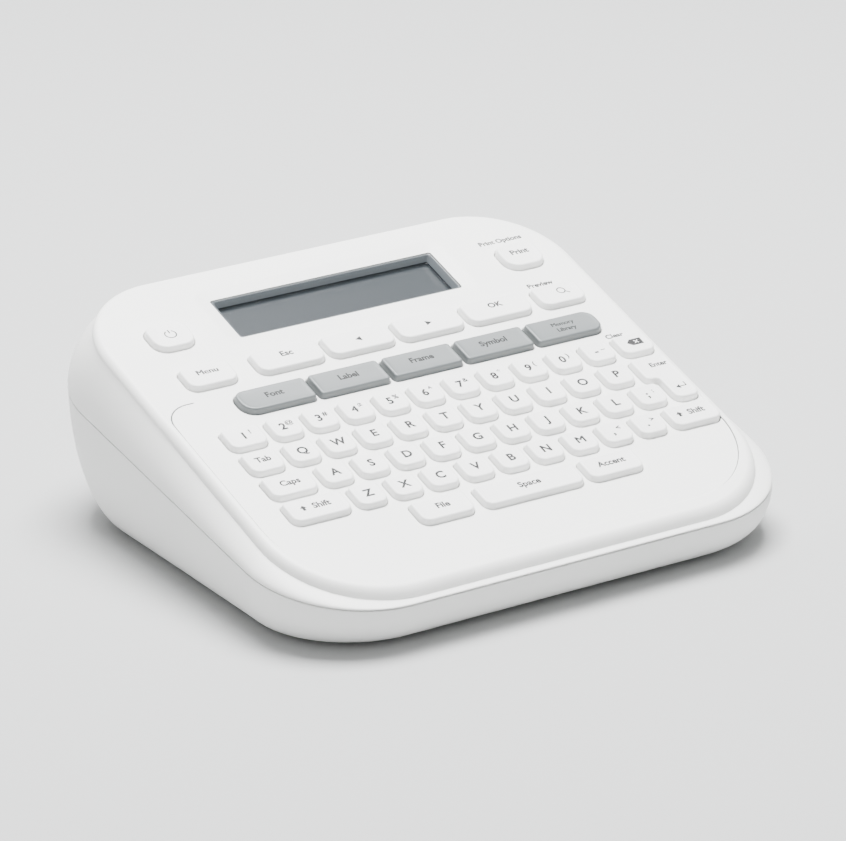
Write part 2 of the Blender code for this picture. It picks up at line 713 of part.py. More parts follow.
def make_battery_bay(materials):
    wall = BAY_WALL
    bm = bmesh.new()
    outer_x = (BAY_INNER_X[0] - wall, BAY_INNER_X[1] + wall)
    outer_y = (BAY_INNER_Y[0] - wall, BAY_INNER_Y[1] + wall)
    block(bm, outer_x, outer_y, (BAY_Z, BAY_CEILING + wall))
    bay = make("battery_bay", bm, materials["white"])
    bm = bmesh.new()
    block(bm, BAY_INNER_X, BAY_INNER_Y, (BAY_Z - MM, BAY_CEILING))
    combine(bay, bm, "DIFFERENCE")


def make_back_cover(materials):
    x0, x1 = COVER_X[0] + COVER_GAP, COVER_X[1] - COVER_GAP
    y0, y1 = COVER_Y[0] + COVER_GAP, COVER_Y[1] - COVER_GAP
    radius = COVER_RADIUS - COVER_GAP
    bm = bmesh.new()
    prism(bm, rounded(x0, x1, y0, y1, (radius, radius), 3), BASE_Z, BASE_Z + COVER_THICK)
    make("back_cover", bm, materials["white"], pivot=(0, y0, BASE_Z))


# ---- mechanism ----


def gear_outline(centre, teeth, phase):
    """A gear's outline, with one tooth's middle at the angle phase."""
    pitch = math.tau / teeth
    root = pitch_radius(teeth) - GEAR_ROOT * GEAR_MODULE
    tip = pitch_radius(teeth) + GEAR_TIP * GEAR_MODULE
    corners = ((root, -0.27), (tip, -0.11), (tip, 0.11), (root, 0.27))
    points = []
    for tooth in range(teeth):
        for radius, part in corners:
            angle = phase + (tooth + part) * pitch
            x = centre[0] + radius * math.cos(angle)
            y = centre[1] + radius * math.sin(angle)
            points.append(Vector((x, y)))
    return points


def meshed_phase(phase, first_teeth, second_teeth, degrees):
    """The phase that puts a second gear's gap where a first gear's tooth meets it."""
    direction = math.radians(degrees)
    tooth_share = first_teeth * (direction - phase) / math.tau
    return direction + math.pi - math.tau * (0.5 - tooth_share) / second_teeth


FEED_PHASE = 0.0
RIBBON_PHASE = meshed_phase(FEED_PHASE, FEED_TEETH, RIBBON_TEETH, RIBBON_DIRECTION)
IDLER_PHASE = meshed_phase(FEED_PHASE, FEED_TEETH, IDLER_TEETH, IDLER_DIRECTION)
PINION_PHASE = meshed_phase(IDLER_PHASE, IDLER_TEETH, PINION_TEETH, MOTOR_DIRECTION)
MOTOR_SHAFT = 1.0 * MM
MOTOR_SHAFT_LOW = PLATE_Z - 4 * MM


def make_gears(materials):
    shafted = (
        ("motor_pinion", MOTOR_AT, PINION_TEETH, PINION_PHASE, MOTOR_SHAFT, MOTOR_SHAFT_LOW, "brass"),
        ("feed_gear", FEED_AT, FEED_TEETH, FEED_PHASE, FEED_SHAFT, SPINDLE_FOOT, "gear"),
        ("ribbon_spindle", RIBBON_AT, RIBBON_TEETH, RIBBON_PHASE, SPINDLE_RADIUS, SPINDLE_FOOT, "gear"),
    )
    top = GEAR_Z + GEAR_THICK
    for name, centre, teeth, phase, shaft, low, finish in shafted:
        bm = bmesh.new()
        prism(bm, gear_outline(centre, teeth, phase), GEAR_Z, top)
        gear = make(name, bm, materials[finish], pivot=(*centre, GEAR_Z))
        bm = bmesh.new()
        turned(bm, centre, ((shaft, low), (shaft, GEAR_Z + GEAR_THICK / 2)), 12)
        combine(gear, bm, "UNION")
    bm = bmesh.new()
    prism(bm, gear_outline(IDLER_AT, IDLER_TEETH, IDLER_PHASE), GEAR_Z, top)
    idler = make("idler_gear", bm, materials["gear"], pivot=(*IDLER_AT, GEAR_Z))
    bm = bmesh.new()
    turned(bm, IDLER_AT, [(PIN_RADIUS + PIN_CLEAR, z) for z in (GEAR_Z - MM, top + MM)], 16)
    combine(idler, bm, "DIFFERENCE")


PLATE_X = (MOTOR_AT.x - MOTOR_RADIUS - MM, CASSETTE_X1)
PLATE_Y = (LEVER_PIN.y - 4 * MM, CASSETTE_Y1 + 10 * MM)
CUTTER_X = (-70 * MM, -42 * MM)
CUTTER_Y = (PLATE_Y[1] - MM, PLATE_Y[1] + 5 * MM)
BLADE_Y = (CASSETTE_Y1 + 8 * MM, CASSETTE_Y1 + 9 * MM)
ANVIL_X = (TAPE_X + 2.0 * MM, TAPE_X + 4.0 * MM)
POSTS = (
    (MOTOR_AT.x, CASSETTE_Y1 - 62 * MM),
    (CASSETTE_X - 22.5 * MM, CASSETTE_Y1 + 0.5 * MM),
    (CASSETTE_X1 - 10 * MM, CASSETTE_Y1 + 6 * MM),
)


def make_frame(materials):
    """The plate over the cassette, with the pins, posts and the fixed cutter edge that hang from it."""
    bm = bmesh.new()
    plan = [
        (PLATE_X[0], PLATE_Y[0]),
        (PLATE_X[1], PLATE_Y[0]),
        (PLATE_X[1], PLATE_Y[1]),
        (CUTTER_X[1], PLATE_Y[1]),
        (CUTTER_X[1], CUTTER_Y[1]),
        (CUTTER_X[0], CUTTER_Y[1]),
        (CUTTER_X[0], PLATE_Y[1]),
        (PLATE_X[0], PLATE_Y[1]),
    ]
    prism(bm, plan, PLATE_Z, PLATE_TOP)
    frame = make("mechanism_frame", bm, materials["frame"])
    bm = bmesh.new()
    inside = PLATE_Z + PLATE_THICK / 2
    for pin in (HOLDER_PIN, LEVER_PIN):
        turned(bm, pin, ((PIN_RADIUS, CASSETTE_Z + MM), (PIN_RADIUS, inside)), 16)
    turned(bm, IDLER_AT, ((PIN_RADIUS, inside), (PIN_RADIUS, GEAR_Z + GEAR_THICK + MM / 2)), 16)
    for place in POSTS:
        turned(bm, place, ((POST_RADIUS, FLOOR_TOP + GAP), (POST_RADIUS, inside)), 12)
    block(bm, ANVIL_X, (BLADE_Y[0] - 3 * MM, BLADE_Y[1] + 3 * MM), (CASSETTE_Z + MM, inside))
    combine(frame, bm, "UNION")
    bm = bmesh.new()
    ends = (PLATE_Z - MM, PLATE_TOP + MM)
    for centre, radius in ((FEED_AT, FEED_SHAFT), (RIBBON_AT, SPINDLE_RADIUS), (MOTOR_AT, MOTOR_SHAFT)):
        turned(bm, centre, [(radius + SPINDLE_CLEAR, z) for z in ends], 16)
    combine(frame, bm, "DIFFERENCE")


HOLDER_Z = (CASSETTE_Z + 1.4 * MM, CASSETTE_TOP - 0.6 * MM)
FLANGE_LOW_TOP = HOLDER_Z[0] + HOLDER_THICK
FLANGE_HIGH_LOW = HOLDER_Z[1] - HOLDER_THICK
HOLDER_BACK_X = (CASSETTE_X - 11.5 * MM, CASSETTE_X - 9.5 * MM)
HOLDER_END_Y = CASSETTE_Y1 + 2 * MM


def make_holder(materials):
    """The arm that carries both rollers and swings away from the print head."""
    pivot = (*HOLDER_PIN, HOLDER_Z[0])
    bm = bmesh.new()
    block(bm, HOLDER_BACK_X, (HOLDER_PIN.y, HOLDER_END_Y), HOLDER_Z)
    holder = make("roller_holder", bm, materials["black"], pivot=pivot)
    hub = PIN_RADIUS + PIN_CLEAR + HUB_WALL
    bm = bmesh.new()
    turned(bm, HOLDER_PIN, [(hub, z) for z in HOLDER_Z], 16)
    near = PLATEN_AT.y - PLATEN_RADIUS - 2 * MM
    inner = (HOLDER_BACK_X[0] + MM, CASSETTE_X - 0.6 * MM)
    for z0, z1 in ((HOLDER_Z[0], FLANGE_LOW_TOP), (FLANGE_HIGH_LOW, HOLDER_Z[1])):
        block(bm, inner, (near, HOLDER_END_Y), (z0, z1))
    combine(holder, bm, "UNION")
    bm = bmesh.new()
    ends = (HOLDER_Z[0] - MM, HOLDER_Z[1] + MM)
    holes = ((HOLDER_PIN, PIN_RADIUS), (PLATEN_AT, ROLLER_SHAFT), (FEED_ROLLER_AT, ROLLER_SHAFT))
    for centre, radius in holes:
        turned(bm, centre, [(radius + PIN_CLEAR, z) for z in ends], 16)
    combine(holder, bm, "DIFFERENCE")


def make_rollers(materials):
    rollers = (
        ("platen_roller", PLATEN_AT, PLATEN_RADIUS, "dark_rubber"),
        ("feed_roller", FEED_ROLLER_AT, FEED_ROLLER_RADIUS, "rubber"),
    )
    for name, centre, radius, finish in rollers:
        low, high = FLANGE_LOW_TOP + GAP, FLANGE_HIGH_LOW - GAP
        profile = (
            (ROLLER_SHAFT, HOLDER_Z[0]),
            (ROLLER_SHAFT, low),
            (radius, low),
            (radius, high),
            (ROLLER_SHAFT, high),
            (ROLLER_SHAFT, HOLDER_Z[1]),
        )
        bm = bmesh.new()
        turned(bm, centre, profile, 20)
        make(name, bm, materials[finish], pivot=(*centre, HOLDER_Z[0]), smooth=True)


def make_release_lever(materials):
    hub = PIN_RADIUS + PIN_CLEAR + HUB_WALL
    bm = bmesh.new()
    turned(bm, LEVER_PIN, [(hub, z) for z in HOLDER_Z], 16)
    lever = make("release_lever", bm, materials["gear"], pivot=(*LEVER_PIN, HOLDER_Z[0]))
    bm = bmesh.new()
    arm_z = (HOLDER_Z[0] + 2 * MM, HOLDER_Z[0] + 8 * MM)
    block(bm, (LEVER_PIN.x - 1.2 * MM, LEVER_PIN.x + 1.2 * MM), (LEVER_PIN.y - 18 * MM, LEVER_PIN.y - 2.6 * MM), arm_z)
    combine(lever, bm, "UNION")
    bm = bmesh.new()
    turned(bm, LEVER_PIN, [(PIN_RADIUS + PIN_CLEAR, z) for z in (HOLDER_Z[0] - MM, HOLDER_Z[1] + MM)], 16)
    combine(lever, bm, "DIFFERENCE")


def make_motor(materials):
    top = PLATE_Z - GAP
    low = FLOOR_TOP + MOTOR_LIFT
    hole = MOTOR_SHAFT + SPINDLE_CLEAR
    profile = (
        (MOTOR_RADIUS, low),
        (MOTOR_RADIUS, top),
        (hole, top),
        (hole, MOTOR_SHAFT_LOW - MM),
    )
    bm = bmesh.new()
    turned(bm, MOTOR_AT, profile, 24)
    make("drive_motor", bm, materials["steel"], smooth=True)


def make_print_head(materials):
    bm = bmesh.new()
    block(bm, (HEAD_X, HEAD_X + HEAD_THICK), (PLATEN_AT.y - 8 * MM, PLATEN_AT.y + 8 * MM), (CASSETTE_Z + 2 * MM, PLATE_Z - GAP))
    make("print_head", bm, materials["ceramic"])


SPRING_RADIUS = 2.4 * MM
SPRING_WIRE = 0.4 * MM
SPRING_TURNS = 4
BUTTON_Y = (BACK_Y - 17 * MM, BACK_Y - 1.2 * MM)


def make_cutter(materials):
    """The blade beside the tape, the button that drives it and the button's return spring."""
    tip = ANVIL_X[0] - BLADE_TRAVEL - GAP
    bm = bmesh.new()
    block(bm, (tip - 7 * MM, tip), BLADE_Y, (CASSETTE_Z + 2 * MM, CASSETTE_TOP - MM))
    make("cutter_blade", bm, materials["steel"])
    bm = bmesh.new()
    block(bm, BUTTON_X, BUTTON_Y, BUTTON_Z)
    make("cutter_button", bm, materials["grey_key"], pivot=(BUTTON_X[0], BUTTON_Y[0], BUTTON_Z[0]))
    centre = Vector(((BUTTON_X[0] + BUTTON_X[1]) / 2, 0, (BUTTON_Z[0] + BUTTON_Z[1]) / 2))
    curve = bpy.data.curves.new("cutter_spring", "CURVE")
    curve.dimensions = "3D"
    curve.bevel_depth = SPRING_WIRE
    curve.bevel_resolution = 0
    curve.use_fill_caps = True
    spline = curve.splines.new("POLY")
    per_turn = 8
    count = SPRING_TURNS * per_turn
    spline.points.add(count)
    far = BUTTON_Y[0] - GAP - SPRING_WIRE
    near = far - (BUTTON_TRAVEL + 2 * MM)
    for i in range(count + 1):
        angle = math.tau * i / per_turn
        x = centre.x + SPRING_RADIUS * math.cos(angle)
        z = centre.z + SPRING_RADIUS * math.sin(angle)
        spline.points[i].co = (x, near + (far - near) * i / count, z, 1)
    curve.materials.append(materials["steel"])
    spring = bpy.data.objects.new("cutter_spring", curve)
    bpy.context.scene.collection.objects.link(spring)


# ---- case pieces ----


def make_case(materials):
    bm = bmesh.new()
    upper_shell(bm)
    upper = make("upper_case", bm, materials["white"], smooth=True)
    combine(upper, deck_holes(), "DIFFERENCE")
    bm = bmesh.new()
    lower_shell(bm)
    lower = make("lower_case", bm, materials["white"], smooth=True)
    combine(lower, case_openings(), "DIFFERENCE")


def case_openings():
    """Cutters for the back cover, the tape slot, the cutter button and the two sockets."""
    bm = bmesh.new()
    outline = rounded(*COVER_X, *COVER_Y, (COVER_RADIUS, COVER_RADIUS), 3)
    prism(bm, outline, BASE_Z - MM, FLOOR_TOP + MM)
    behind = (BACK_Y - 16 * MM, BACK_Y + MM)
    tape = (TAPE_X - SLOT_WIDE / 2, TAPE_X + SLOT_WIDE / 2)
    block(bm, tape, behind, (CASSETTE_Z + 2.4 * MM, CASSETTE_TOP + MM))
    play = 0.5 * MM
    button_x = (BUTTON_X[0] - play, BUTTON_X[1] + play)
    block(bm, button_x, behind, (BUTTON_Z[0] - play, BUTTON_Z[1] + play))
    place = from_back(JACK_X, SOCKET_Z)
    turned(bm, None, [(JACK_NOSE + KEY_GAP, y) for y in behind], along=place)
    wide, tall = (size / 2 + KEY_GAP for size in USB_SIZE)
    block(bm, (USB_X - wide, USB_X + wide), behind, (SOCKET_Z - tall, SOCKET_Z + tall))
    return bm


def make_feet(materials):
    front_y = FRONT_Y + 27 * MM
    back_y = COVER_Y[1] + FOOT_RADIUS + 1 * MM
    side = HALF_WIDTH - 32 * MM
    spots = (
        ("foot_front_left", -side, front_y),
        ("foot_front_right", side, front_y),
        ("foot_back_left", -side, back_y),
        ("foot_back_right", side, back_y),
    )
    for name, x, y in spots:
        bm = bmesh.new()
        turned(bm, (x, y), ((FOOT_RADIUS, 0), (FOOT_RADIUS, FOOT_HEIGHT)), 16)
        make(name, bm, materials["dark_rubber"])


def main():
    for obj in list(bpy.data.objects):
        bpy.data.objects.remove(obj)
    materials = make_materials()
    make_case(materials)
    make_single_keys(materials)
    make_key_rows(materials)
    make_display(materials)
    make_electronics(materials)
    make_sockets(materials)
    make_cassette(materials)
    make_battery_bay(materials)
    make_back_cover(materials)
    make_gears(materials)
    make_frame(materials)
    make_holder(materials)
    make_rollers(materials)
    make_release_lever(materials)
    make_motor(materials)
    make_print_head(materials)
    make_cutter(materials)
    make_feet(materials)


main()
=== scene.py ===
import json
import math

import bmesh
import bpy
from mathutils import Matrix, Vector


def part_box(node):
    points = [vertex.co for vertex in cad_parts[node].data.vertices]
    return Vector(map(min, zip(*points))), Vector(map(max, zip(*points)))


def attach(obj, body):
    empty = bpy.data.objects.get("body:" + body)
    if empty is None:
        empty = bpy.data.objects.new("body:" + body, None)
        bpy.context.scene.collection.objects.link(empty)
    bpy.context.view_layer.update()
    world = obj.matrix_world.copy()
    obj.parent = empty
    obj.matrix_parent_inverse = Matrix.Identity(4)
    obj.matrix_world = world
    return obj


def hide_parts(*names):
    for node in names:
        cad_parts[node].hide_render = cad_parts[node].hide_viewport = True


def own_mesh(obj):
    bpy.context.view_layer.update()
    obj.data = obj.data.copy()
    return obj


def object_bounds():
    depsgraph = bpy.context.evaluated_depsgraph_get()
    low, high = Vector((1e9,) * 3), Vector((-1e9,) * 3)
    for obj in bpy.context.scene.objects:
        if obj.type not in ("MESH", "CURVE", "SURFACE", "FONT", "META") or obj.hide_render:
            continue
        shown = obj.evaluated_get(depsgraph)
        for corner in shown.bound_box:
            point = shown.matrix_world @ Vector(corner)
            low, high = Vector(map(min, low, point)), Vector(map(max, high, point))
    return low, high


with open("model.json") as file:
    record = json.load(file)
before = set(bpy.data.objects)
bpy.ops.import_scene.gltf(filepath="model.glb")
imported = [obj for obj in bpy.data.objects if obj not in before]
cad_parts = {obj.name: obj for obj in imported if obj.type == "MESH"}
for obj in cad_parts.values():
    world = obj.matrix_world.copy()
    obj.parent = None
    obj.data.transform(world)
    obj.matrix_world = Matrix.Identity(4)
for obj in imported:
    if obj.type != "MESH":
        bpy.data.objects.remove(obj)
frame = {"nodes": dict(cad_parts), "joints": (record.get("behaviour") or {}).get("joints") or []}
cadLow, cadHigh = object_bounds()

mm = 0.001
print("frame loaded:", len(frame["nodes"]), "nodes")


def linear(hexText):  # an sRGB hex colour as the linear values that a shader takes
    channels = [int(hexText[i : i + 2], 16) / 255 for i in (1, 3, 5)]
    return (*[c / 12.92 if c <= 0.04045 else ((c + 0.055) / 1.055) ** 2.4 for c in channels], 1)


def addNode(tree, kind, settings=None, links=None):  # one shader node with its settings and its links
    node = tree.nodes.new(kind)
    for name, value in (settings or {}).items():
        if isinstance(name, int) or name in node.inputs:
            node.inputs[name].default_value = value
        else:
            setattr(node, name, value)
    for name, source in (links or {}).items():
        tree.links.new(source, node.inputs[name])
    return node


def roundedOutline(x, y, radii, steps=6, cuts=0):  # plan points of a rectangle whose corners are bevelled
    bm = bmesh.new()
    corners = [bm.verts.new((a, b, 0)) for a, b in ((x[0], y[0]), (x[1], y[0]), (x[1], y[1]), (x[0], y[1]))]
    bm.faces.new(corners)
    for corner, radius in zip(corners, radii):
        bmesh.ops.bevel(
            bm, geom=[corner], offset=radius, affect="VERTICES", segments=steps, profile=0.5, material=-1
        )
    if cuts:  # the four straight edges are cut, so that loops of different shape blend evenly
        straight = sorted(bm.edges, key=lambda edge: -edge.calc_length())[:4]
        bmesh.ops.subdivide_edges(bm, edges=straight, cuts=cuts)
    bm.faces.ensure_lookup_table()
    points = [vert.co.copy() for vert in bm.faces[0].verts]
    bm.free()
    if sum(a.x * b.y - b.x * a.y for a, b in zip(points, points[1:] + points[:1])) < 0:
        points.reverse()
    first = min(range(len(points)), key=lambda i: (round(points[i].y, 6), points[i].x))
    return points[first:] + points[:first]


def skin(bm, loops, closed=False):  # extrudes a ring of edges from loop to loop, and caps or joins its ends
    ring = [bm.verts.new(point) for point in loops[0]]
    start = ring
    edges = [bm.edges.new((a, b)) for a, b in zip(ring, ring[1:] + ring[:1])]
    startEdges = edges
    for points in loops[1:]:
        grown = bmesh.ops.extrude_edge_only(bm, edges=edges)["geom"]
        fresh = {item for item in grown if isinstance(item, bmesh.types.BMVert)}
        ring = [next(e.other_vert(v) for e in v.link_edges if e.other_vert(v) in fresh) for v in ring]
        for vert, point in zip(ring, points):
            vert.co = point
        edges = [e for e in grown if isinstance(e, bmesh.types.BMEdge) and all(v in fresh for v in e.verts)]
    if closed:
        bmesh.ops.bridge_loops(bm, edges=startEdges + edges)
    else:
        bm.faces.new(start)
        bm.faces.new(ring)


def placed(points, matrix, height=0.0):
    return [matrix @ Vector((point[0], point[1], height)) for point in points]


# a box between two corners, its edges rounded
def addBlock(bm, low, high, edge=0.0, segments=2, matrix=Matrix.Identity(4)):
    size = Vector(high) - Vector(low)
    middle = (Vector(high) + Vector(low)) / 2
    made = bmesh.ops.create_cube(
        bm, size=1, matrix=matrix @ Matrix.Translation(middle) @ Matrix.Diagonal((*size, 1))
    )
    if edge:
        sides = {e for vert in made["verts"] for e in vert.link_edges}
        bmesh.ops.bevel(
            bm, geom=list(sides), offset=edge, affect="EDGES", segments=segments, profile=0.5, material=-1
        )


def addTurned(bm, profile, matrix, sides=32):  # a (radius, height) profile spun a full turn about Z
    chain = [bm.verts.new((radius, 0, height)) for radius, height in profile]
    edges = [bm.edges.new(pair) for pair in zip(chain, chain[1:])]
    made = bmesh.ops.spin(
        bm, geom=chain + edges, axis=(0, 0, 1), cent=(0, 0, 0), steps=sides, angle=math.tau, use_merge=True
    )
    verts = set()
    for item in made["geom_last"]:
        verts.update([item] if isinstance(item, bmesh.types.BMVert) else item.verts)
    reached = verts | {v for v in chain if v.is_valid}
    edge = list(reached)
    while edge:
        edge = [n for v in edge for e in v.link_edges for n in [e.other_vert(v)] if n not in reached]
        reached.update(edge)
    bmesh.ops.remove_doubles(bm, verts=list(reached), dist=1e-7)
    bmesh.ops.transform(bm, matrix=matrix, verts=[v for v in reached if v.is_valid])


def makePiece(name, bm, materials, body, replaces=(), smoothAngle=32, weighted=False):
    bmesh.ops.recalc_face_normals(bm, faces=bm.faces)
    mesh = bpy.data.meshes.new(name)
    bm.to_mesh(mesh)
    bm.free()
    return finishPiece(name, mesh, materials, body, replaces, smoothAngle, weighted)


def finishPiece(name, mesh, materials, body, replaces=(), smoothAngle=32, weighted=False):
    mesh.name = name
    for material in materials:
        mesh.materials.append(material)
    mesh.shade_smooth()
    mesh.set_sharp_from_angle(angle=math.radians(smoothAngle))
    piece = bpy.data.objects.new(name, mesh)
    bpy.context.scene.collection.objects.link(piece)
    if weighted:  # keeps the broad flat faces flat where a soft edge meets them
        normals = piece.modifiers.new("weightedNormal", "WEIGHTED_NORMAL")
        normals.keep_sharp = True
    if body:
        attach(piece, body)
        if replaces:
            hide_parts(*replaces)
    return piece


def curveMesh(curve):  # a curve or a text as a mesh
    holder = bpy.data.objects.new("holder", curve)
    bpy.context.scene.collection.objects.link(holder)
    mesh = bpy.data.meshes.new_from_object(holder.evaluated_get(bpy.context.evaluated_depsgraph_get()))
    bpy.data.objects.remove(holder)
    return mesh


def cutAway(bm, cutterMesh):  # the mesh left when one closed shape is taken from another
    bmesh.ops.recalc_face_normals(bm, faces=bm.faces)
    bmesh.ops.recalc_face_normals(cutterMesh, faces=cutterMesh.faces)
    helpers = []
    for source in (bm, cutterMesh):
        mesh = bpy.data.meshes.new("helper")
        source.to_mesh(mesh)
        source.free()
        helper = bpy.data.objects.new("helper", mesh)
        bpy.context.scene.collection.objects.link(helper)
        helpers.append(helper)
    cut = helpers[0].modifiers.new("cut", "BOOLEAN")
    cut.operation, cut.solver, cut.object = "DIFFERENCE", "EXACT", helpers[1]
    result = bpy.data.meshes.new_from_object(helpers[0].evaluated_get(bpy.context.evaluated_depsgraph_get()))
    for helper in helpers:
        bpy.data.objects.remove(helper)
    return result


# the deck has its own coordinates: x across, y up the slope, z out of it
keyRise = 2.0 * mm  # a cap's top above the deck
keyFlange = 0.5 * mm  # how far a key's hidden flange stands out round its cap
pressAxis = Vector(next(joint["axis"] for joint in frame["joints"] if joint["name"] == "key_one_press"))
slope = math.atan2(pressAxis.y, -pressAxis.z)


def spanOf(node, matrix):  # a node's lowest and highest corner in the matrix's coordinates
    inverse = matrix.inverted()
    points = [inverse @ vert.co for vert in frame["nodes"][node].data.vertices]
    return [Vector([pick(point[i] for point in points) for i in range(3)]) for pick in (min, max)]


deck = Matrix.Rotation(slope, 4, "X")
oneLow, oneHigh = spanOf("key_one", deck)
deck = deck @ Matrix.Translation((0, (oneLow.y + oneHigh.y) / 2, oneHigh.z - keyRise))
deckOrigin = deck.translation


def capSpan(node):  # a key cap's x and y limits on the deck
    low, high = spanOf(node, deck)
    return (low.x + keyFlange, high.x - keyFlange), (low.y + keyFlange, high.y - keyFlange)


def plastic(name, tone, shade, roughness, grain, depth, blotch=35 * mm, ior=1.54, coat=0.0):
    # tone drifts to shade in soft clouds, and a noise of the grain's size gives the tool's texture
    material = bpy.data.materials.new(name)
    material.use_nodes = True
    tree = material.node_tree
    shader = tree.nodes["Principled BSDF"]
    place = addNode(tree, "ShaderNodeTexCoord")
    cloud = addNode(
        tree, "ShaderNodeTexNoise", {"Scale": 1 / blotch, "Detail": 4.0}, {"Vector": place.outputs["Object"]}
    )
    colours = addNode(
        tree,
        "ShaderNodeMix",
        {"data_type": "RGBA", 6: linear(tone), 7: linear(shade)},
        {0: cloud.outputs["Fac"]},
    )
    tree.links.new(colours.outputs[2], shader.inputs["Base Color"])
    fine = addNode(
        tree, "ShaderNodeTexNoise", {"Scale": 1 / grain, "Detail": 2.0}, {"Vector": place.outputs["Object"]}
    )
    spread = addNode(
        tree,
        "ShaderNodeMapRange",
        {"From Min": 0.3, "From Max": 0.7, "To Min": roughness - 0.05, "To Max": roughness + 0.06},
        {"Value": fine.outputs["Fac"]},
    )
    tree.links.new(spread.outputs["Result"], shader.inputs["Roughness"])
    bump = addNode(
        tree, "ShaderNodeBump", {"Strength": 0.6, "Distance": depth}, {"Height": fine.outputs["Fac"]}
    )
    tree.links.new(bump.outputs["Normal"], shader.inputs["Normal"])
    shader.inputs["IOR"].default_value = ior
    shader.inputs["Coat Weight"].default_value = coat
    shader.inputs["Coat Roughness"].default_value = 0.1
    return material


def metal(name, tone, shade, roughness, lay, stretch):
    # fine lines of the lay's spacing along the stretched axis, as rolling or turning leaves them
    material = bpy.data.materials.new(name)
    material.use_nodes = True
    tree = material.node_tree
    shader = tree.nodes["Principled BSDF"]
    shader.inputs["Metallic"].default_value = 1.0
    place = addNode(tree, "ShaderNodeTexCoord")
    drawn = addNode(tree, "ShaderNodeMapping", {"Scale": stretch}, {"Vector": place.outputs["Object"]})
    lines = addNode(
        tree, "ShaderNodeTexNoise", {"Scale": 1 / lay, "Detail": 3.0}, {"Vector": drawn.outputs["Vector"]}
    )
    colours = addNode(
        tree,
        "ShaderNodeMix",
        {"data_type": "RGBA", 6: linear(tone), 7: linear(shade)},
        {0: lines.outputs["Fac"]},
    )
    tree.links.new(colours.outputs[2], shader.inputs["Base Color"])
    spread = addNode(
        tree,
        "ShaderNodeMapRange",
        {"To Min": roughness - 0.08, "To Max": roughness + 0.12},
        {"Value": lines.outputs["Fac"]},
    )
    tree.links.new(spread.outputs["Result"], shader.inputs["Roughness"])
    bump = addNode(
        tree, "ShaderNodeBump", {"Strength": 0.4, "Distance": 0.02 * mm}, {"Height": lines.outputs["Fac"]}
    )
    tree.links.new(bump.outputs["Normal"], shader.inputs["Normal"])
    return material


# ABS moulded in a spark-eroded tool: 0.1 mm grit, drawn at 0.5 mm so that the even satin shows
shellAbs = plastic("texturedShellAbs", "#F2F2F0", "#ECEDEB", 0.46, 0.5 * mm, 0.02 * mm)
# the back cover's tool is a little coarser, so its face looks a shade duller
coverAbs = plastic("texturedCoverAbs", "#EDEEEC", "#E4E5E3", 0.5, 0.55 * mm, 0.03 * mm)
# painted shade: the shell's ABS darkened to stand for the shadow inside a fine parting line, where almost no
# light reaches
paintedSeamShade = plastic("paintedSeamShadeAbs", "#4E5051", "#464849", 0.6, 0.3 * mm, 0.004 * mm, 30 * mm)
# keycap ABS from a finer tool, a little smoother and whiter than the shell
keyAbs = plastic("satinKeyAbs", "#F4F4F3", "#EFEFEE", 0.38, 0.35 * mm, 0.008 * mm, 18 * mm)
# the same ABS coloured mid grey, with the same soft sheen on its dished tops
greyKeyAbs = plastic("satinGreyKeyAbs", "#666B6C", "#616667", 0.4, 0.35 * mm, 0.008 * mm, 18 * mm)
# pad-printed two-part ink: flat, a touch uneven where it is thin
keyInk = plastic("padPrintedInk", "#0E0F10", "#17181A", 0.75, 0.3 * mm, 0.002 * mm, 2 * mm)
darkInk = plastic("padPrintedDarkInk", "#0A0B0C", "#121314", 0.75, 0.3 * mm, 0.002 * mm, 2 * mm)
# blue-grey ABS round the display, satin so that its slopes don't glare
bezelAbs = plastic("satinBezelAbs", "#53595D", "#4E5458", 0.42, 0.4 * mm, 0.01 * mm)
# silicone rubber sheet and moulded nitrile: soft, almost no gloss, with dust-fine pitting
sheetSilicone = plastic("siliconeSheet", "#5A5C5E", "#4E5052", 0.75, 0.6 * mm, 0.03 * mm, 12 * mm, 1.41)
nitrileRubber = plastic("mouldedNitrile", "#262729", "#303133", 0.82, 0.5 * mm, 0.05 * mm, 6 * mm, 1.52)
# ground rubber on the feed roller: dull and even, for grip
greyRubber = plastic("groundGreyRubber", "#5C5E60", "#6A6C6E", 0.78, 0.3 * mm, 0.03 * mm, 5 * mm, 1.52)
# glass fibres show in the nylon as a fine mottled skin; acetal is waxy and slightly ivory
frameNylon = plastic("glassFilledNylon", "#2B2C2E", "#3A3B3D", 0.55, 0.9 * mm, 0.03 * mm, 3 * mm, 1.53)
acetal = plastic("mouldedAcetal", "#E9E6DC", "#E1DED2", 0.4, 0.5 * mm, 0.008 * mm, 8 * mm, 1.48)
# polystyrene of a tape cassette: crisp, textured dark grey, with a bright green spool core
cassetteStyrene = plastic("texturedStyrene", "#47484A", "#505153", 0.5, 0.45 * mm, 0.03 * mm, 15 * mm, 1.59)
greenStyrene = plastic("greenStyrene", "#8DB53C", "#84AB35", 0.4, 0.5 * mm, 0.01 * mm, 8 * mm, 1.59)
# black connector nylon: smooth, with a low, tight sheen
connectorNylon = plastic("connectorNylon", "#1B1C1E", "#232426", 0.48, 0.5 * mm, 0.015 * mm, 4 * mm, 1.53)
# alumina tile, ground flat and glazed thinly
headAlumina = plastic("groundAlumina", "#DAD6CB", "#CFCBBF", 0.28, 0.25 * mm, 0.004 * mm, 3 * mm, 1.76, 0.3)
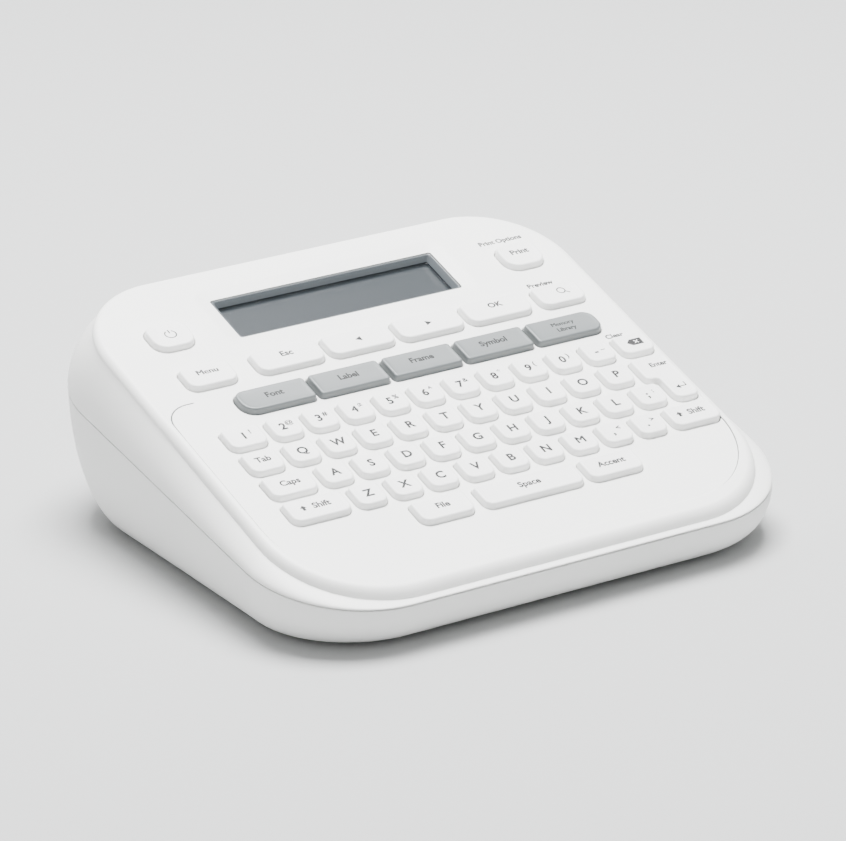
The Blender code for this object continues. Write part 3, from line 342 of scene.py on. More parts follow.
# plated, ground, drawn and turned metals: each carries the fine lines that its making leaves
motorSteel = metal("platedMotorSteel", "#B4B7BA", "#9EA1A4", 0.3, 0.5 * mm, (1, 1, 8))
bladeSteel = metal("groundBladeSteel", "#C4C7CA", "#AEB1B4", 0.26, 0.4 * mm, (8, 1, 1))
springSteel = metal("drawnSpringSteel", "#A7AAAD", "#8F9295", 0.3, 0.5 * mm, (1, 6, 1))
nickelPlate = metal("brightNickelPlate", "#C9CBCC", "#B9BBBC", 0.22, 0.8 * mm, (6, 1, 1))
# zinc-plated pan heads: bright grey with the faint rings of heading
screwZinc = metal("zincPlatedScrew", "#B9BCBF", "#A2A5A9", 0.32, 0.5 * mm, (1, 1, 6))
# matt polyester film, silver-grey, laid in a shallow recess and left blank
platePolyester = plastic("mattPolyesterFilm", "#B4B8BA", "#ABAFB1", 0.5, 0.4 * mm, 0.004 * mm, 20 * mm, 1.57)
turnedBrass = metal("turnedBrass", "#C9A55B", "#B8924A", 0.28, 0.4 * mm, (1, 1, 10))


def makeLcd():
    # liquid crystal cell: grey reflective polariser with the cell grid of unlit dots just showing
    material = bpy.data.materials.new("reflectiveLcd")
    material.use_nodes = True
    tree = material.node_tree
    shader = tree.nodes["Principled BSDF"]
    place = addNode(tree, "ShaderNodeTexCoord")
    turned = addNode(
        tree, "ShaderNodeMapping", {"Rotation": (-slope, 0, 0)}, {"Vector": place.outputs["Object"]}
    )
    dots = addNode(
        tree,
        "ShaderNodeTexBrick",
        {
            "offset": 0.0,
            "Scale": 1.0,
            "Mortar Size": 0.06 * mm,  # dot gap
            "Mortar Smooth": 0.3,
            "Brick Width": 0.7 * mm,  # 0.55 mm dots drawn a little coarse
            "Row Height": 0.7 * mm,
            "Color1": linear("#33383C"),
            "Color2": linear("#303539"),
            "Mortar": linear("#3D4247"),
        },
        {"Vector": turned.outputs["Vector"]},
    )
    cloud = addNode(
        tree,
        "ShaderNodeTexNoise",
        {"Scale": 1 / (30 * mm), "Detail": 2.0},
        {"Vector": place.outputs["Object"]},
    )
    colours = addNode(
        tree,
        "ShaderNodeMix",
        {"data_type": "RGBA", "blend_type": "MULTIPLY", 7: linear("#F2F4F5")},
        {0: cloud.outputs["Fac"], 6: dots.outputs["Color"]},
    )
    tree.links.new(colours.outputs[2], shader.inputs["Base Color"])
    shader.inputs["Roughness"].default_value = 0.3
    shader.inputs["IOR"].default_value = 1.5
    return material


def makeWindow():
    # acrylic window: clear, hard-coated, mostly seen by its gloss
    material = plastic(
        "hardCoatedAcrylic", "#40464A", "#3C4246", 0.12, 2 * mm, 0.001 * mm, 40 * mm, 1.49, 0.6
    )
    material.node_tree.nodes["Principled BSDF"].inputs["Alpha"].default_value = 0.16
    return material


def makeBoard():
    # solder mask over copper: green lacquer with slightly raised tracks on a 2.5 mm grid
    material = plastic("solderMaskBoard", "#1F5A38", "#2A6A45", 0.35, 1.2 * mm, 0.01 * mm, 6 * mm, 1.55, 0.2)
    tree = material.node_tree
    shader = tree.nodes["Principled BSDF"]
    place = addNode(tree, "ShaderNodeTexCoord")
    tracks = addNode(
        tree,
        "ShaderNodeTexBrick",
        {
            "Scale": 1.0,
            "Mortar Size": 0.25 * mm,
            "Brick Width": 5 * mm,
            "Row Height": 2.5 * mm,
            "Color1": linear("#1F5A38"),
            "Color2": linear("#236040"),
            "Mortar": linear("#3C8A5C"),
        },
        {"Vector": place.outputs["Object"]},
    )
    tree.links.new(tracks.outputs["Color"], shader.inputs["Base Color"])
    return material


def makeTape():
    # laminated label tape wound on its core: 0.14 mm layers, drawn at 0.5 mm, show as rings on its ends
    material = plastic("woundLabelTape", "#EDEDE9", "#E4E4DF", 0.4, 0.5 * mm, 0.01 * mm, 10 * mm, 1.5)
    tree = material.node_tree
    shader = tree.nodes["Principled BSDF"]
    spoolLow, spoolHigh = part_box("tape_spool")
    centre = (spoolLow + spoolHigh) / 2
    place = addNode(tree, "ShaderNodeTexCoord")
    centred = addNode(tree, "ShaderNodeMapping", {"Location": -centre}, {"Vector": place.outputs["Object"]})
    rings = addNode(
        tree,
        "ShaderNodeTexWave",
        {"wave_type": "RINGS", "rings_direction": "Z", "Scale": 1 / (3.2 * mm), "Distortion": 0.2},
        {"Vector": centred.outputs["Vector"]},
    )
    colours = addNode(
        tree,
        "ShaderNodeMix",
        {"data_type": "RGBA", 6: linear("#EDEDE9"), 7: linear("#D4D4CE")},
        {0: rings.outputs["Fac"]},
    )
    tree.links.new(colours.outputs[2], shader.inputs["Base Color"])
    return material


lcdFace = makeLcd()
windowAcrylic = makeWindow()
boardMask = makeBoard()
labelTape = makeTape()

cadFinishes = {
    "lcd_module": lcdFace,
    "display_window": windowAcrylic,
    "circuit_board": boardMask,
    "keypad_sheet": sheetSilicone,
    "mechanism_frame": frameNylon,
    "print_head": headAlumina,
    "drive_motor": motorSteel,
    "battery_bay": coverAbs,
    "power_jack": connectorNylon,
    "usb_socket": nickelPlate,
    "cassette_lower_case": cassetteStyrene,
    "cassette_upper_case": cassetteStyrene,
    "cutter_spring": springSteel,
    "motor_pinion": turnedBrass,
    "idler_gear": acetal,
    "feed_gear": acetal,
    "tape_spool": labelTape,
    "ribbon_spool": greenStyrene,
    "ribbon_spindle": acetal,
    "roller_holder": connectorNylon,
    "platen_roller": nitrileRubber,
    "feed_roller": greyRubber,
    "release_lever": acetal,
    "cutter_blade": bladeSteel,
    "cutter_button": greyKeyAbs,
}
for nodeName, finish in cadFinishes.items():
    slots = frame["nodes"][nodeName].data.materials
    slots.clear()
    slots.append(finish)
print("materials made")

# the two halves of the case
upperLow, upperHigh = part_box("upper_case")
lowerLow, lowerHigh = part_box("lower_case")
shell = {
    "wall": 2.2 * mm,
    "gap": 0.3 * mm,  # the seam between the halves
    "deckLean": 5.5 * mm,  # how far the sides stand out from the deck at the seam
    "deckFrontSet": 2.3 * mm,
    "deckBackSet": 13 * mm,
    "deckRadii": (36 * mm, 36 * mm, 31 * mm, 31 * mm),
    "edgeRound": 2.8 * mm,
    "crest": 0.45 * mm,  # how far the rim stands above the keyboard
    "rimFrontInset": 6.6 * mm,
    "seamRadius": 37 * mm,
    "seamRound": 0.3 * mm,
    "baseSets": (10 * mm, 12 * mm, 19 * mm),  # side, front and back
    "baseRadius": 30 * mm,
    "cornerSteps": 16,
    "straightCuts": 11,
}
halfWidth = upperHigh.x
frontY, backY = lowerLow.y, lowerHigh.y
deckFrontY = frontY + shell["deckFrontSet"]
deckBackY = backY - shell["deckBackSet"]
seamFrontZ = upperLow.z - shell["gap"] / 2
seamBackZ = lowerHigh.z + shell["gap"] / 2
baseZ = lowerLow.z
tallSlope = math.tan(slope)


def deckPoints(inset, drop, frontInset=None, raised=0.0):  # a loop on the deck, inset from its edge
    near = inset if frontInset is None else frontInset
    side = halfWidth - shell["deckLean"] - inset
    radii = [radius - inset for radius in shell["deckRadii"]]
    points = roundedOutline(
        (-side, side),
        (deckFrontY + near, deckBackY - inset),
        radii,
        shell["cornerSteps"],
        shell["straightCuts"],
    )
    for point in points:
        point.z = deckOrigin.z + (point.y - deckOrigin.y) * tallSlope - drop + raised * rimShare(point)
    return points


def rimShare(point):  # 1 where the rim is full, fading out up the left side and earlier up the right
    fadeFrom = 2 * mm if point.x < 0 else -46 * mm
    fadeOver = 12 * mm if point.x < 0 else 24 * mm
    share = min(max((point.y - fadeFrom) / fadeOver, 0), 1)
    return 1 - share * share * (3 - 2 * share)


def seamPoints(inset, lift):
    side = halfWidth - inset
    radius = shell["seamRadius"] - inset
    points = roundedOutline(
        (-side, side),
        (frontY + inset, backY - inset),
        [radius] * 4,
        shell["cornerSteps"],
        shell["straightCuts"],
    )
    for point in points:
        point.z = seamFrontZ + (seamBackZ - seamFrontZ) * (point.y - frontY) / (backY - frontY) + lift
    return points


def basePoints(inset, z):
    sideSet, frontSet, backSet = shell["baseSets"]
    side = halfWidth - sideSet - inset
    points = roundedOutline(
        (-side, side),
        (frontY + frontSet + inset, backY - backSet - inset),
        [shell["baseRadius"] - inset] * 4,
        shell["cornerSteps"],
        shell["straightCuts"],
    )
    for point in points:
        point.z = z
    return points


def between(first, second, outward, along):  # a loop part of the way, with plan and height blended apart
    made = []
    for a, b in zip(first, second):
        plan = a.lerp(b, outward)
        made.append(Vector((plan.x, plan.y, a.z + (b.z - a.z) * along)))
    return made


def upperLoops():
    edge, crest = shell["edgeRound"], shell["crest"]
    rim = shell["rimFrontInset"]
    loops = [
        deckPoints(edge + 1.6 * mm, 0, rim + 1.2 * mm),
        deckPoints(edge + 0.62 * mm, 0, rim + 0.27 * mm),
        deckPoints(edge + 0.52 * mm, 0, rim + 0.17 * mm, crest * 0.1),
        deckPoints(edge + 0.4 * mm, 0, rim + 0.05 * mm, crest * 0.82),
        deckPoints(edge + 0.25 * mm, 0, rim - 0.1 * mm, crest),
    ]
    for step in range(9):
        angle = math.radians(90 * step / 8)
        loops.append(
            deckPoints(
                edge * (1 - math.sin(angle)), edge * (1 - math.cos(angle)), None, crest * math.cos(angle)
            )
        )
    seam = seamPoints(0, shell["gap"] / 2 + shell["seamRound"])
    top = loops[-1]
    for step in range(1, 11):
        along = step / 10
        loops.append(between(top, seam, 1 - (1 - along) ** 2, along))
    loops.append(seamPoints(0.1 * mm, shell["gap"] / 2 + 0.09 * mm))
    loops.append(seamPoints(shell["seamRound"], shell["gap"] / 2))
    thick = shell["wall"] / math.cos(slope)
    inner = [seamPoints(shell["wall"], shell["gap"] / 2)]
    roof = deckPoints(shell["wall"], thick)
    inner += [between(roof, inner[0], 0.85, 0.7), between(roof, inner[0], 0.6, 0.4), roof]
    return loops + inner


def lowerLoops():
    base = basePoints(0, baseZ)
    seam = seamPoints(0, -shell["gap"] / 2 - shell["seamRound"])
    loops = []
    for step in range(15):
        angle = math.radians(90 * step / 14)
        loops.append(between(base, seam, math.sin(angle), 1 - math.cos(angle)))
    loops.append(seamPoints(0.1 * mm, -shell["gap"] / 2 - 0.09 * mm))
    loops.append(seamPoints(shell["seamRound"], -shell["gap"] / 2))
    insideSeam = seamPoints(shell["wall"], -shell["gap"] / 2)
    insideBase = basePoints(shell["wall"] / 2, baseZ + shell["wall"])
    for step in (6, 5, 4, 3, 2, 1, 0):
        angle = math.radians(15 * step)
        loops.append(between(insideBase, insideSeam, math.sin(angle), 1 - math.cos(angle)))
    return loops


keys = {
    "gap": 0.35 * mm,  # round each cap
    "flare": 0.25 * mm,  # the softened edge of each hole
    "letterRadii": (3.2, 3.2, 1.4, 1.4),  # near left, near right, far right, far left
    "menuRadii": (3.6, 3.6, 2.2, 2.2),
    "roundRadii": (5.0, 5.0, 4.0, 4.0),
    "greyRadii": (1.5, 1.5, 1.5, 1.5),
    "greyLeftRadii": (5.2, 1.5, 1.5, 3.6),
    "greyRightRadii": (1.5, 4.0, 4.4, 1.5),
    "pitchSpace": 2.5 * mm,  # between two caps of a row
    "edge": 0.7 * mm,
    "lean": 0.22 * mm,
    "dish": 0.1 * mm,
    # millimetres above the middle
    "wordLift": {"key_menu": 1.2, "key_escape": 1.2, "key_ok": 1.2, "key_print": 1.0},
    "skirt": 2.4 * mm,  # how far a cap goes on below the deck
    "letterSize": 4.6 * mm,
    "figureSize": 4.5 * mm,
    "signSize": 2.8 * mm,
    "wordSize": 3.5 * mm,
    "smallWordSize": 2.5 * mm,
    "deckWordSize": 3.0 * mm,
    "printThick": 0.02 * mm,
    "printBold": 0.034,  # widens the strokes of the lettering by this share of its size
}
rowKeys = {
    "keys_number_row": ("2@", "3#", "4$", "5%", "6^", "7&", "8*", "9(", "0)", "-_"),
    "keys_top_row": "QWERTYUIOP",
    "keys_home_row": (*"ASDFGHJKL", ";:"),
    "keys_bottom_row": (*"ZXCVBNM", ",<", ".>"),
}
wordKeys = {
    "key_one": "1!",
    "key_tab": "Tab",
    "key_caps": "Caps",
    "key_shift_left": "Shift",
    "key_shift_right": "Shift",
    "key_file": "File",
    "key_space": "Space",
    "key_accent": "Accent",
    "key_menu": "Menu",
    "key_escape": "Esc",
    "key_ok": "OK",
    "key_print": "Print",
    "key_font": "Font",
    "key_label": "Label",
    "key_frame": "Frame",
    "key_symbol": "Symbol",
    "key_memory": "Memory",
    "key_backspace": "",
    "key_left": "",
    "key_right": "",
    "key_preview": "",
    "key_power": "",
}
greyKeys = ("key_font", "key_label", "key_frame", "key_symbol", "key_memory")
capTop = keyRise - keys["dish"]


def radiiFor(node):
    kinds = {"key_font": "greyLeftRadii", "key_memory": "greyRightRadii"}
    for name in ("key_label", "key_frame", "key_symbol"):
        kinds[name] = "greyRadii"
    for name in ("key_power", "key_print"):
        kinds[name] = "roundRadii"
    for name in ("key_menu", "key_escape", "key_left", "key_right", "key_ok", "key_preview"):
        kinds[name] = "menuRadii"
    return [radius * mm for radius in keys[kinds.get(node, "letterRadii")]]


def capOutline(x, y, radii, grow):
    return roundedOutline(
        (x[0] - grow, x[1] + grow),
        (y[0] - grow, y[1] + grow),
        [max(radius + grow, 0.2 * mm) for radius in radii],
        6,
    )


def rowCaps(node):  # the limits of each cap in a letter row
    x, y = capSpan(node)
    count = len(rowKeys[node])
    pitch = (x[1] - x[0] + keys["pitchSpace"]) / count
    return [((x[0] + i * pitch, x[0] + (i + 1) * pitch - keys["pitchSpace"]), y) for i in range(count)]


def enterOutline(grow, steps=4):  # the step-shaped key over two rows
    low, high = spanOf("key_enter", deck)
    x0, x1 = low.x + keyFlange, high.x - keyFlange
    y0, y1 = low.y + keyFlange, high.y - keyFlange
    stepY = (y0 + y1) / 2
    narrow = rowCaps("keys_home_row")[-1][0][1] + keys["pitchSpace"]
    bm = bmesh.new()
    spots = (
        (narrow - grow, y0 - grow),
        (x1 + grow, y0 - grow),
        (x1 + grow, y1 + grow),
        (x0 - grow, y1 + grow),
        (x0 - grow, stepY - grow),
        (narrow - grow, stepY - grow),
    )
    corners = [bm.verts.new((a, b, 0)) for a, b in spots]
    bm.faces.new(corners)
    for corner, radius in zip(corners, (3.0, 3.0, 1.4, 1.4, 2.4, 1.2)):
        size = max(radius * mm + (grow if radius != 1.2 else -grow), 0.2 * mm)
        bmesh.ops.bevel(
            bm, geom=[corner], offset=size, affect="VERTICES", segments=steps, profile=0.5, material=-1
        )
    bm.faces.ensure_lookup_table()
    points = [vert.co.copy() for vert in bm.faces[0].verts]
    bm.free()
    first = min(range(len(points)), key=lambda i: (round(points[i].y, 6), points[i].x))
    return points[first:] + points[:first]


def addCap(bm, outline):  # a cap from below the deck to its rounded edge and shallow dish
    edge, lean = keys["edge"], keys["lean"]
    steps = [(0, -keys["skirt"]), (0, 0), (-lean, keyRise - edge)]
    for turn in range(1, 6):
        angle = math.radians(18 * turn)
        steps.append((-lean - edge * (1 - math.cos(angle)), keyRise - edge + edge * math.sin(angle)))
    inset = lean + edge
    steps += [
        (-inset - 0.35 * mm, keyRise - keys["dish"] * 0.35),
        (-inset - 0.8 * mm, keyRise - keys["dish"] * 0.85),
    ]
    steps += [(-inset - 1.1 * mm, capTop)]
    skin(bm, [placed(outline(grow), deck, height) for grow, height in steps])


def addLegend(bm, text, x, y, size, height=capTop, material=1):  # printed text on the deck's slope
    bold = size * keys["printBold"]
    # these fill in when widened, so thin prints lie side by side instead
    if any(sign in text for sign in "M4@&"):
        for step in (-1, 0, 1):
            shifted = x + step * bold
            addWord(bm, text, shifted, y, size, height + step * 0.003 * mm, material, 0)
    else:
        addWord(bm, text, x, y, size, height, material, bold)


def addWord(bm, text, x, y, size, height, material, bold):
    curve = bpy.data.curves.new("legend", "FONT")
    curve.body = text
    curve.size = size
    curve.align_x, curve.align_y = "CENTER", "CENTER"
    curve.resolution_u = 3
    curve.extrude = keys["printThick"]
    curve.offset = bold
    mesh = curveMesh(curve)
    mesh.transform(deck @ Matrix.Translation((x, y, height)))
    before = len(bm.faces)
    bm.from_mesh(mesh)
    bm.faces.ensure_lookup_table()
    for face in bm.faces[before:]:
        face.material_index = material
    bpy.data.meshes.remove(mesh)


def addMark(bm, points, x, y, height=capTop, material=1):  # a printed shape from a few corners
    spot = deck @ Matrix.Translation((x, y, height - keys["printThick"]))
    face = bm.faces.new([bm.verts.new(spot @ Vector((a * mm, b * mm, 0))) for a, b in points])
    face.material_index = material
    lifted = bmesh.ops.extrude_face_region(bm, geom=[face])["geom"]
    out = deck.to_3x3() @ Vector((0, 0, 2 * keys["printThick"]))
    bmesh.ops.translate(bm, vec=out, verts=[item for item in lifted if isinstance(item, bmesh.types.BMVert)])
    for item in lifted:
        if isinstance(item, bmesh.types.BMFace):
            item.material_index = material


def addArc(bm, radius, stroke, start, sweep, x, y, material=1):  # a printed arc, spun from a short edge
    spot = deck @ Matrix.Translation((x, y, capTop + keys["printThick"]))
    turned = Matrix.Rotation(math.radians(start), 4, "Z")
    ends = [bm.verts.new(turned @ Vector((r * mm, 0, 0))) for r in (radius - stroke / 2, radius + stroke / 2)]
    edge = bm.edges.new(ends)
    before = set(bm.faces)
    steps = max(int(sweep / 15), 4)
    full = sweep >= 360
    bmesh.ops.spin(
        bm,
        geom=[*ends, edge],
        axis=(0, 0, 1),
        cent=(0, 0, 0),
        steps=steps,
        angle=math.radians(sweep),
        use_merge=full,
    )
    made = [face for face in bm.faces if face not in before]
    for face in made:
        face.material_index = material
    bmesh.ops.transform(bm, matrix=spot, verts=list({vert for face in made for vert in face.verts}))


def letterLegend(bm, text, x, y):
    middleX, middleY = (x[0] + x[1]) / 2, (y[0] + y[1]) / 2
    if len(text) == 2 and not text.isalpha():  # a figure with its small second sign
        addLegend(bm, text[0], middleX - 0.8 * mm, middleY, keys["figureSize"])
        addLegend(bm, text[1], middleX + 1.9 * mm, middleY + 1.4 * mm, keys["signSize"])
    else:
        addLegend(bm, text, middleX, middleY + 0.1 * mm, keys["letterSize"])


for node, texts in rowKeys.items():
    bm = bmesh.new()
    for text, (x, y) in zip(texts, rowCaps(node)):
        addCap(bm, lambda grow, x=x, y=y: capOutline(x, y, radiiFor(node), grow))
    for text, (x, y) in zip(texts, rowCaps(node)):
        letterLegend(bm, text, x, y)
    pieceName = "caps_" + node.split("_")[1] + "_row"
    makePiece(pieceName, bm, [keyAbs, keyInk], node, [node])

for node, text in wordKeys.items():
    x, y = capSpan(node)
    middleX, middleY = (x[0] + x[1]) / 2, (y[0] + y[1]) / 2
    bm = bmesh.new()
    addCap(bm, lambda grow: capOutline(x, y, radiiFor(node), grow))
    isGrey = node in greyKeys
    if node == "key_one":
        letterLegend(bm, text, (x[0] + 1 * mm, x[1]), y)
    elif node == "key_memory":  # two short lines
        for word, lift in (("Memory", 1.5), ("Library", -1.5)):
            addLegend(bm, word, middleX, middleY + lift * mm, keys["smallWordSize"])
    elif text:
        shove = 1.5 * mm if text == "Shift" else 0
        addLegend(bm, text, middleX + shove, middleY + keys["wordLift"].get(node, 0.5) * mm, keys["wordSize"])
    if text == "Shift":  # the arrow before the word
        arrow = ((-1.2, 0), (-0.5, 0), (-0.5, -1.2), (0.5, -1.2), (0.5, 0), (1.2, 0), (0, 1.3))
        addMark(bm, arrow, middleX - 4.8 * mm, middleY + 0.5 * mm)
    if node == "key_power":
        addArc(bm, 1.9, 0.42, 120, 300, middleX, middleY)
        addMark(bm, ((-0.21, 0.5), (0.21, 0.5), (0.21, 2.3), (-0.21, 2.3)), middleX, middleY)
    elif node == "key_left":
        addMark(bm, ((-1.3, 0), (0.9, -1.2), (0.9, 1.2)), middleX, middleY)
    elif node == "key_right":
        addMark(bm, ((1.3, 0), (-0.9, 1.2), (-0.9, -1.2)), middleX, middleY)
    elif node == "key_preview":
        addArc(bm, 1.4, 0.42, 0, 360, middleX + 1.2 * mm, middleY + 0.8 * mm)
        addMark(
            bm,
            ((0.9, -0.75), (1.3, -0.6), (2.7, -1.7), (2.45, -2.05)),
            middleX + 1.2 * mm,
            middleY + 0.8 * mm,
        )
    elif node == "key_backspace":
        addMark(
            bm,
            ((-2.9, 0), (-1.3, -1.6), (2.9, -1.6), (2.9, 1.6), (-1.3, 1.6)),
            middleX + 0.3 * mm,
            middleY + 0.3 * mm,
        )
        for turn in (45, -45):  # the small cross left light in the sign
            turned = Matrix.Rotation(math.radians(turn), 2)
            ends = [turned @ Vector(end) for end in ((-1, -0.16), (1, -0.16), (1, 0.16), (-1, 0.16))]
            lifted = capTop + keys["printThick"] * (1.5 if turn > 0 else 2)
            addMark(bm, ends, middleX + 1 * mm, middleY + 0.3 * mm, lifted, 0)
    makePiece(
        "cap_" + node[4:], bm, [greyKeyAbs if isGrey else keyAbs, darkInk if isGrey else keyInk], node,
        [node],
    )

enterHigh = spanOf("key_enter", deck)[1]
enterX = (enterHigh.x + rowCaps("keys_home_row")[-1][0][1] + keys["pitchSpace"]) / 2
enterTop = enterHigh.y - keyFlange
bm = bmesh.new()
addCap(bm, enterOutline)
addLegend(bm, "Enter", enterX - 0.8 * mm, enterTop - 5.0 * mm, keys["deckWordSize"])
addMark(bm, ((-2.2, 0), (-0.6, -1.0), (-0.6, 1.0)), enterX, enterTop - 18 * mm)
addMark(
    bm,
    ((-0.6, -0.2), (1.9, -0.2), (1.9, 1.9), (1.5, 1.9), (1.5, 0.2), (-0.6, 0.2)),
    enterX,
    enterTop - 18 * mm,
)
makePiece("cap_enter", bm, [keyAbs, keyInk], "key_enter", ["key_enter"])

# words printed on the deck itself, over the keys that they belong to
deckWords = {
    "Print Options": (68.8 * mm, 67.9 * mm),
    "Preview": (68.2 * mm, 41.3 * mm),
    "Clear": (76.2 * mm, 7.6 * mm),
}
bm = bmesh.new()
for text, (x, y) in deckWords.items():
    addLegend(bm, text, x, y, keys["deckWordSize"], 0, 0)
makePiece("deck_lettering", bm, [keyInk], "case")
print("keys made")

display = {
    "dish": 6.0 * mm,  # how far the soft surround reaches
    "dishDepth": 1.1 * mm,
    "hole": 0.5 * mm,
    "slope": 1.4 * mm,  # the bezel's steep sides
    "lip": 1.5 * mm,
}
bezelLow = spanOf("display_bezel", deck)[0]
windowLow, windowHigh = spanOf("display_window", deck)
displayX = (windowLow.x + display["lip"], windowHigh.x - display["lip"])
displayY = (windowLow.y + display["lip"], windowHigh.y - display["lip"])


def displayLoop(grow, height, radius=1.0 * mm):
    outline = roundedOutline(
        (displayX[0] - grow, displayX[1] + grow), (displayY[0] - grow, displayY[1] + grow), [radius] * 4, 5
    )
    return placed(outline, deck, height)


def keyCutter(cutter, outline):
    gap, flare = keys["gap"], keys["flare"]
    steps = ((gap, -5 * mm), (gap, -flare), (gap + flare, 0), (gap + flare * 3, 2 * flare))
    skin(cutter, [placed(outline(grow), deck, height) for grow, height in steps])


cutter = bmesh.new()
for node in rowKeys:
    for x, y in rowCaps(node):
        keyCutter(cutter, lambda grow: capOutline(x, y, radiiFor(node), grow))
for node in wordKeys:
    x, y = capSpan(node)
    keyCutter(cutter, lambda grow: capOutline(x, y, radiiFor(node), grow))
keyCutter(cutter, enterOutline)
dish, depth = display["dish"], display["dishDepth"]
skin(
    cutter,
    [
        displayLoop(display["hole"], -5 * mm),
        displayLoop(display["hole"], -depth),
        displayLoop(dish * 0.35, -depth * 0.7, 2 * mm),
        displayLoop(dish * 0.75, -depth * 0.28, 4 * mm),
        displayLoop(dish, 0, 5 * mm),
        displayLoop(dish * 1.5, depth, 7 * mm),
    ],
)

# the fine dark line at the rim's foot, a sunk thread of painted shade that stands for the step's shadow: it
# hooks round the keyboard's far left corner, follows the front, and fades up the right
line = {
    "hookX": -85.0 * mm,
    "hookY": 22.9 * mm,
    "radius": 9 * mm,
    "end": -71 * mm,
    "wide": 0.3 * mm,
    "sunk": -0.16 * mm,
    "under": -0.6 * mm,
}
thread = bpy.data.curves.new("thread", "CURVE")
thread.dimensions = "3D"
thread.bevel_depth, thread.bevel_resolution, thread.use_fill_caps = line["wide"], 2, True
path = [
    Vector((line["end"], line["hookY"], line["under"])),
    Vector((line["end"] - 3 * mm, line["hookY"], line["sunk"])),
]
for turn in range(9):
    angle = math.radians(90 + 90 * turn / 8)
    across = line["hookX"] + line["radius"] * (1 + math.cos(angle))
    path.append(Vector((across, line["hookY"] + line["radius"] * (math.sin(angle) - 1), line["sunk"])))
foot = deckPoints(shell["edgeRound"] + 0.55 * mm, 0, shell["rimFrontInset"] + 0.2 * mm)
foot = [deck.inverted() @ point for point in foot]
lineTop = path[-1].y - 2 * mm
turnAt = next(i for i in range(len(foot)) if foot[i].x < 0 and foot[i].y < lineTop <= foot[i - 1].y)
foot = foot[turnAt:] + foot[:turnAt]
foot = [point + Vector((0, 0, line["sunk"])) for point in foot]
path += [point for point in foot if point.x < 0 and point.y < lineTop]
path += [point for point in foot if point.x >= 0 and point.y < -40 * mm]
path.append(Vector((path[-1].x, -26 * mm, line["under"])))
spline = thread.splines.new("POLY")
spline.points.add(len(path) - 1)
for point, spot in zip(spline.points, path):
    point.co = (*(deck @ spot), 1)
threadMesh = curveMesh(thread)
bm = bmesh.new()
skin(bm, upperLoops())
upperMesh = cutAway(bm, cutter)
finishPiece("upper_shell", upperMesh, [shellAbs], "case", ["upper_case"], 30, True)
# the thread is painted shade: a dark line standing for the shadow at the rim's step
finishPiece("rim_shadow_line", threadMesh, [paintedSeamShade], "case")
print("upper shell made:", len(upperMesh.polygons), "faces")

# the bezel round the display: a sloped grey frame with its edges softened
bm = bmesh.new()
floor = bezelLow.z - 0.2 * mm
loops = [
    displayLoop(0.2 * mm, -depth - 0.3 * mm),
    displayLoop(0.2 * mm, floor + 0.8 * mm),
    displayLoop(display["lip"], floor + 0.8 * mm),
    displayLoop(display["lip"], floor),
    displayLoop(-display["slope"], floor, 0.5 * mm),
    displayLoop(-display["slope"], floor + 0.15 * mm, 0.5 * mm),
    displayLoop(-display["slope"] + 0.2 * mm, floor + 0.4 * mm, 0.6 * mm),
    displayLoop(-0.45 * mm, -depth - 0.45 * mm, 0.9 * mm),
    displayLoop(-0.2 * mm, -depth - 0.2 * mm, 0.95 * mm),
    displayLoop(0.0 * mm, -depth - 0.15 * mm),
]
skin(bm, loops, closed=True)
makePiece("display_surround", bm, [bezelAbs], "case", ["display_bezel"])

# the back cover and the opening that it closes in the lower case
coverLow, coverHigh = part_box("back_cover")
coverGap = 0.4 * mm
cutter = bmesh.new()
outline = roundedOutline(
    (coverLow.x - coverGap, coverHigh.x + coverGap),
    (coverLow.y - coverGap, coverHigh.y + coverGap),
    [6 * mm] * 4,
    6,
)
through = (baseZ - 1 * mm, baseZ + shell["wall"] + 1 * mm)
skin(cutter, [placed(outline, Matrix.Identity(4), z) for z in through])
buttonLow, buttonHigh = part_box("cutter_button")
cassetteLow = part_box("cassette_lower_case")[0]
tapeX = cassetteLow.x - 1.6 * mm
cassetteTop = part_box("cassette_upper_case")[1].z
slotHalf = 2.6 * mm
behind = (backY - 16 * mm, backY + 1 * mm)
addBlock(
    cutter,
    (tapeX - slotHalf, behind[0], cassetteLow.z + 2.4 * mm),
    (tapeX + slotHalf, behind[1], cassetteTop + 1 * mm),
)
play = 0.5 * mm
addBlock(
    cutter,
    (buttonLow.x - play, behind[0], buttonLow.z - play),
    (buttonHigh.x + play, behind[1], buttonHigh.z + play),
)
jackLow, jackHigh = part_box("power_jack")
usbLow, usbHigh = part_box("usb_socket")
jackMiddle = Matrix.Translation(((jackLow.x + jackHigh.x) / 2, 0, (jackLow.z + jackHigh.z) / 2))
fromBack = jackMiddle @ Matrix.Rotation(math.radians(-90), 4, "X")
jackHole = 4.55 * mm
addTurned(cutter, ((0, behind[0]), (jackHole, behind[0]), (jackHole, behind[1]), (0, behind[1])), fromBack)
addBlock(
    cutter,
    (usbLow.x - 0.35 * mm, behind[0], usbLow.z - 0.35 * mm),
    (usbHigh.x + 0.35 * mm, behind[1], usbHigh.z + 0.35 * mm),
)
underside = {  # screw pits and the recess of the rating plate
    "screws": ((-70 * mm, -48 * mm), (70 * mm, -50 * mm), (-72 * mm, 30 * mm), (42 * mm, 64 * mm)),
    "pit": 3.3 * mm,
    "pitDeep": 1.4 * mm,
    "plate": ((-26 * mm, 59.4 * mm), (22 * mm, 69.2 * mm)),  # near and far corner of the blank rating plate
    "plateDeep": 0.4 * mm,
}
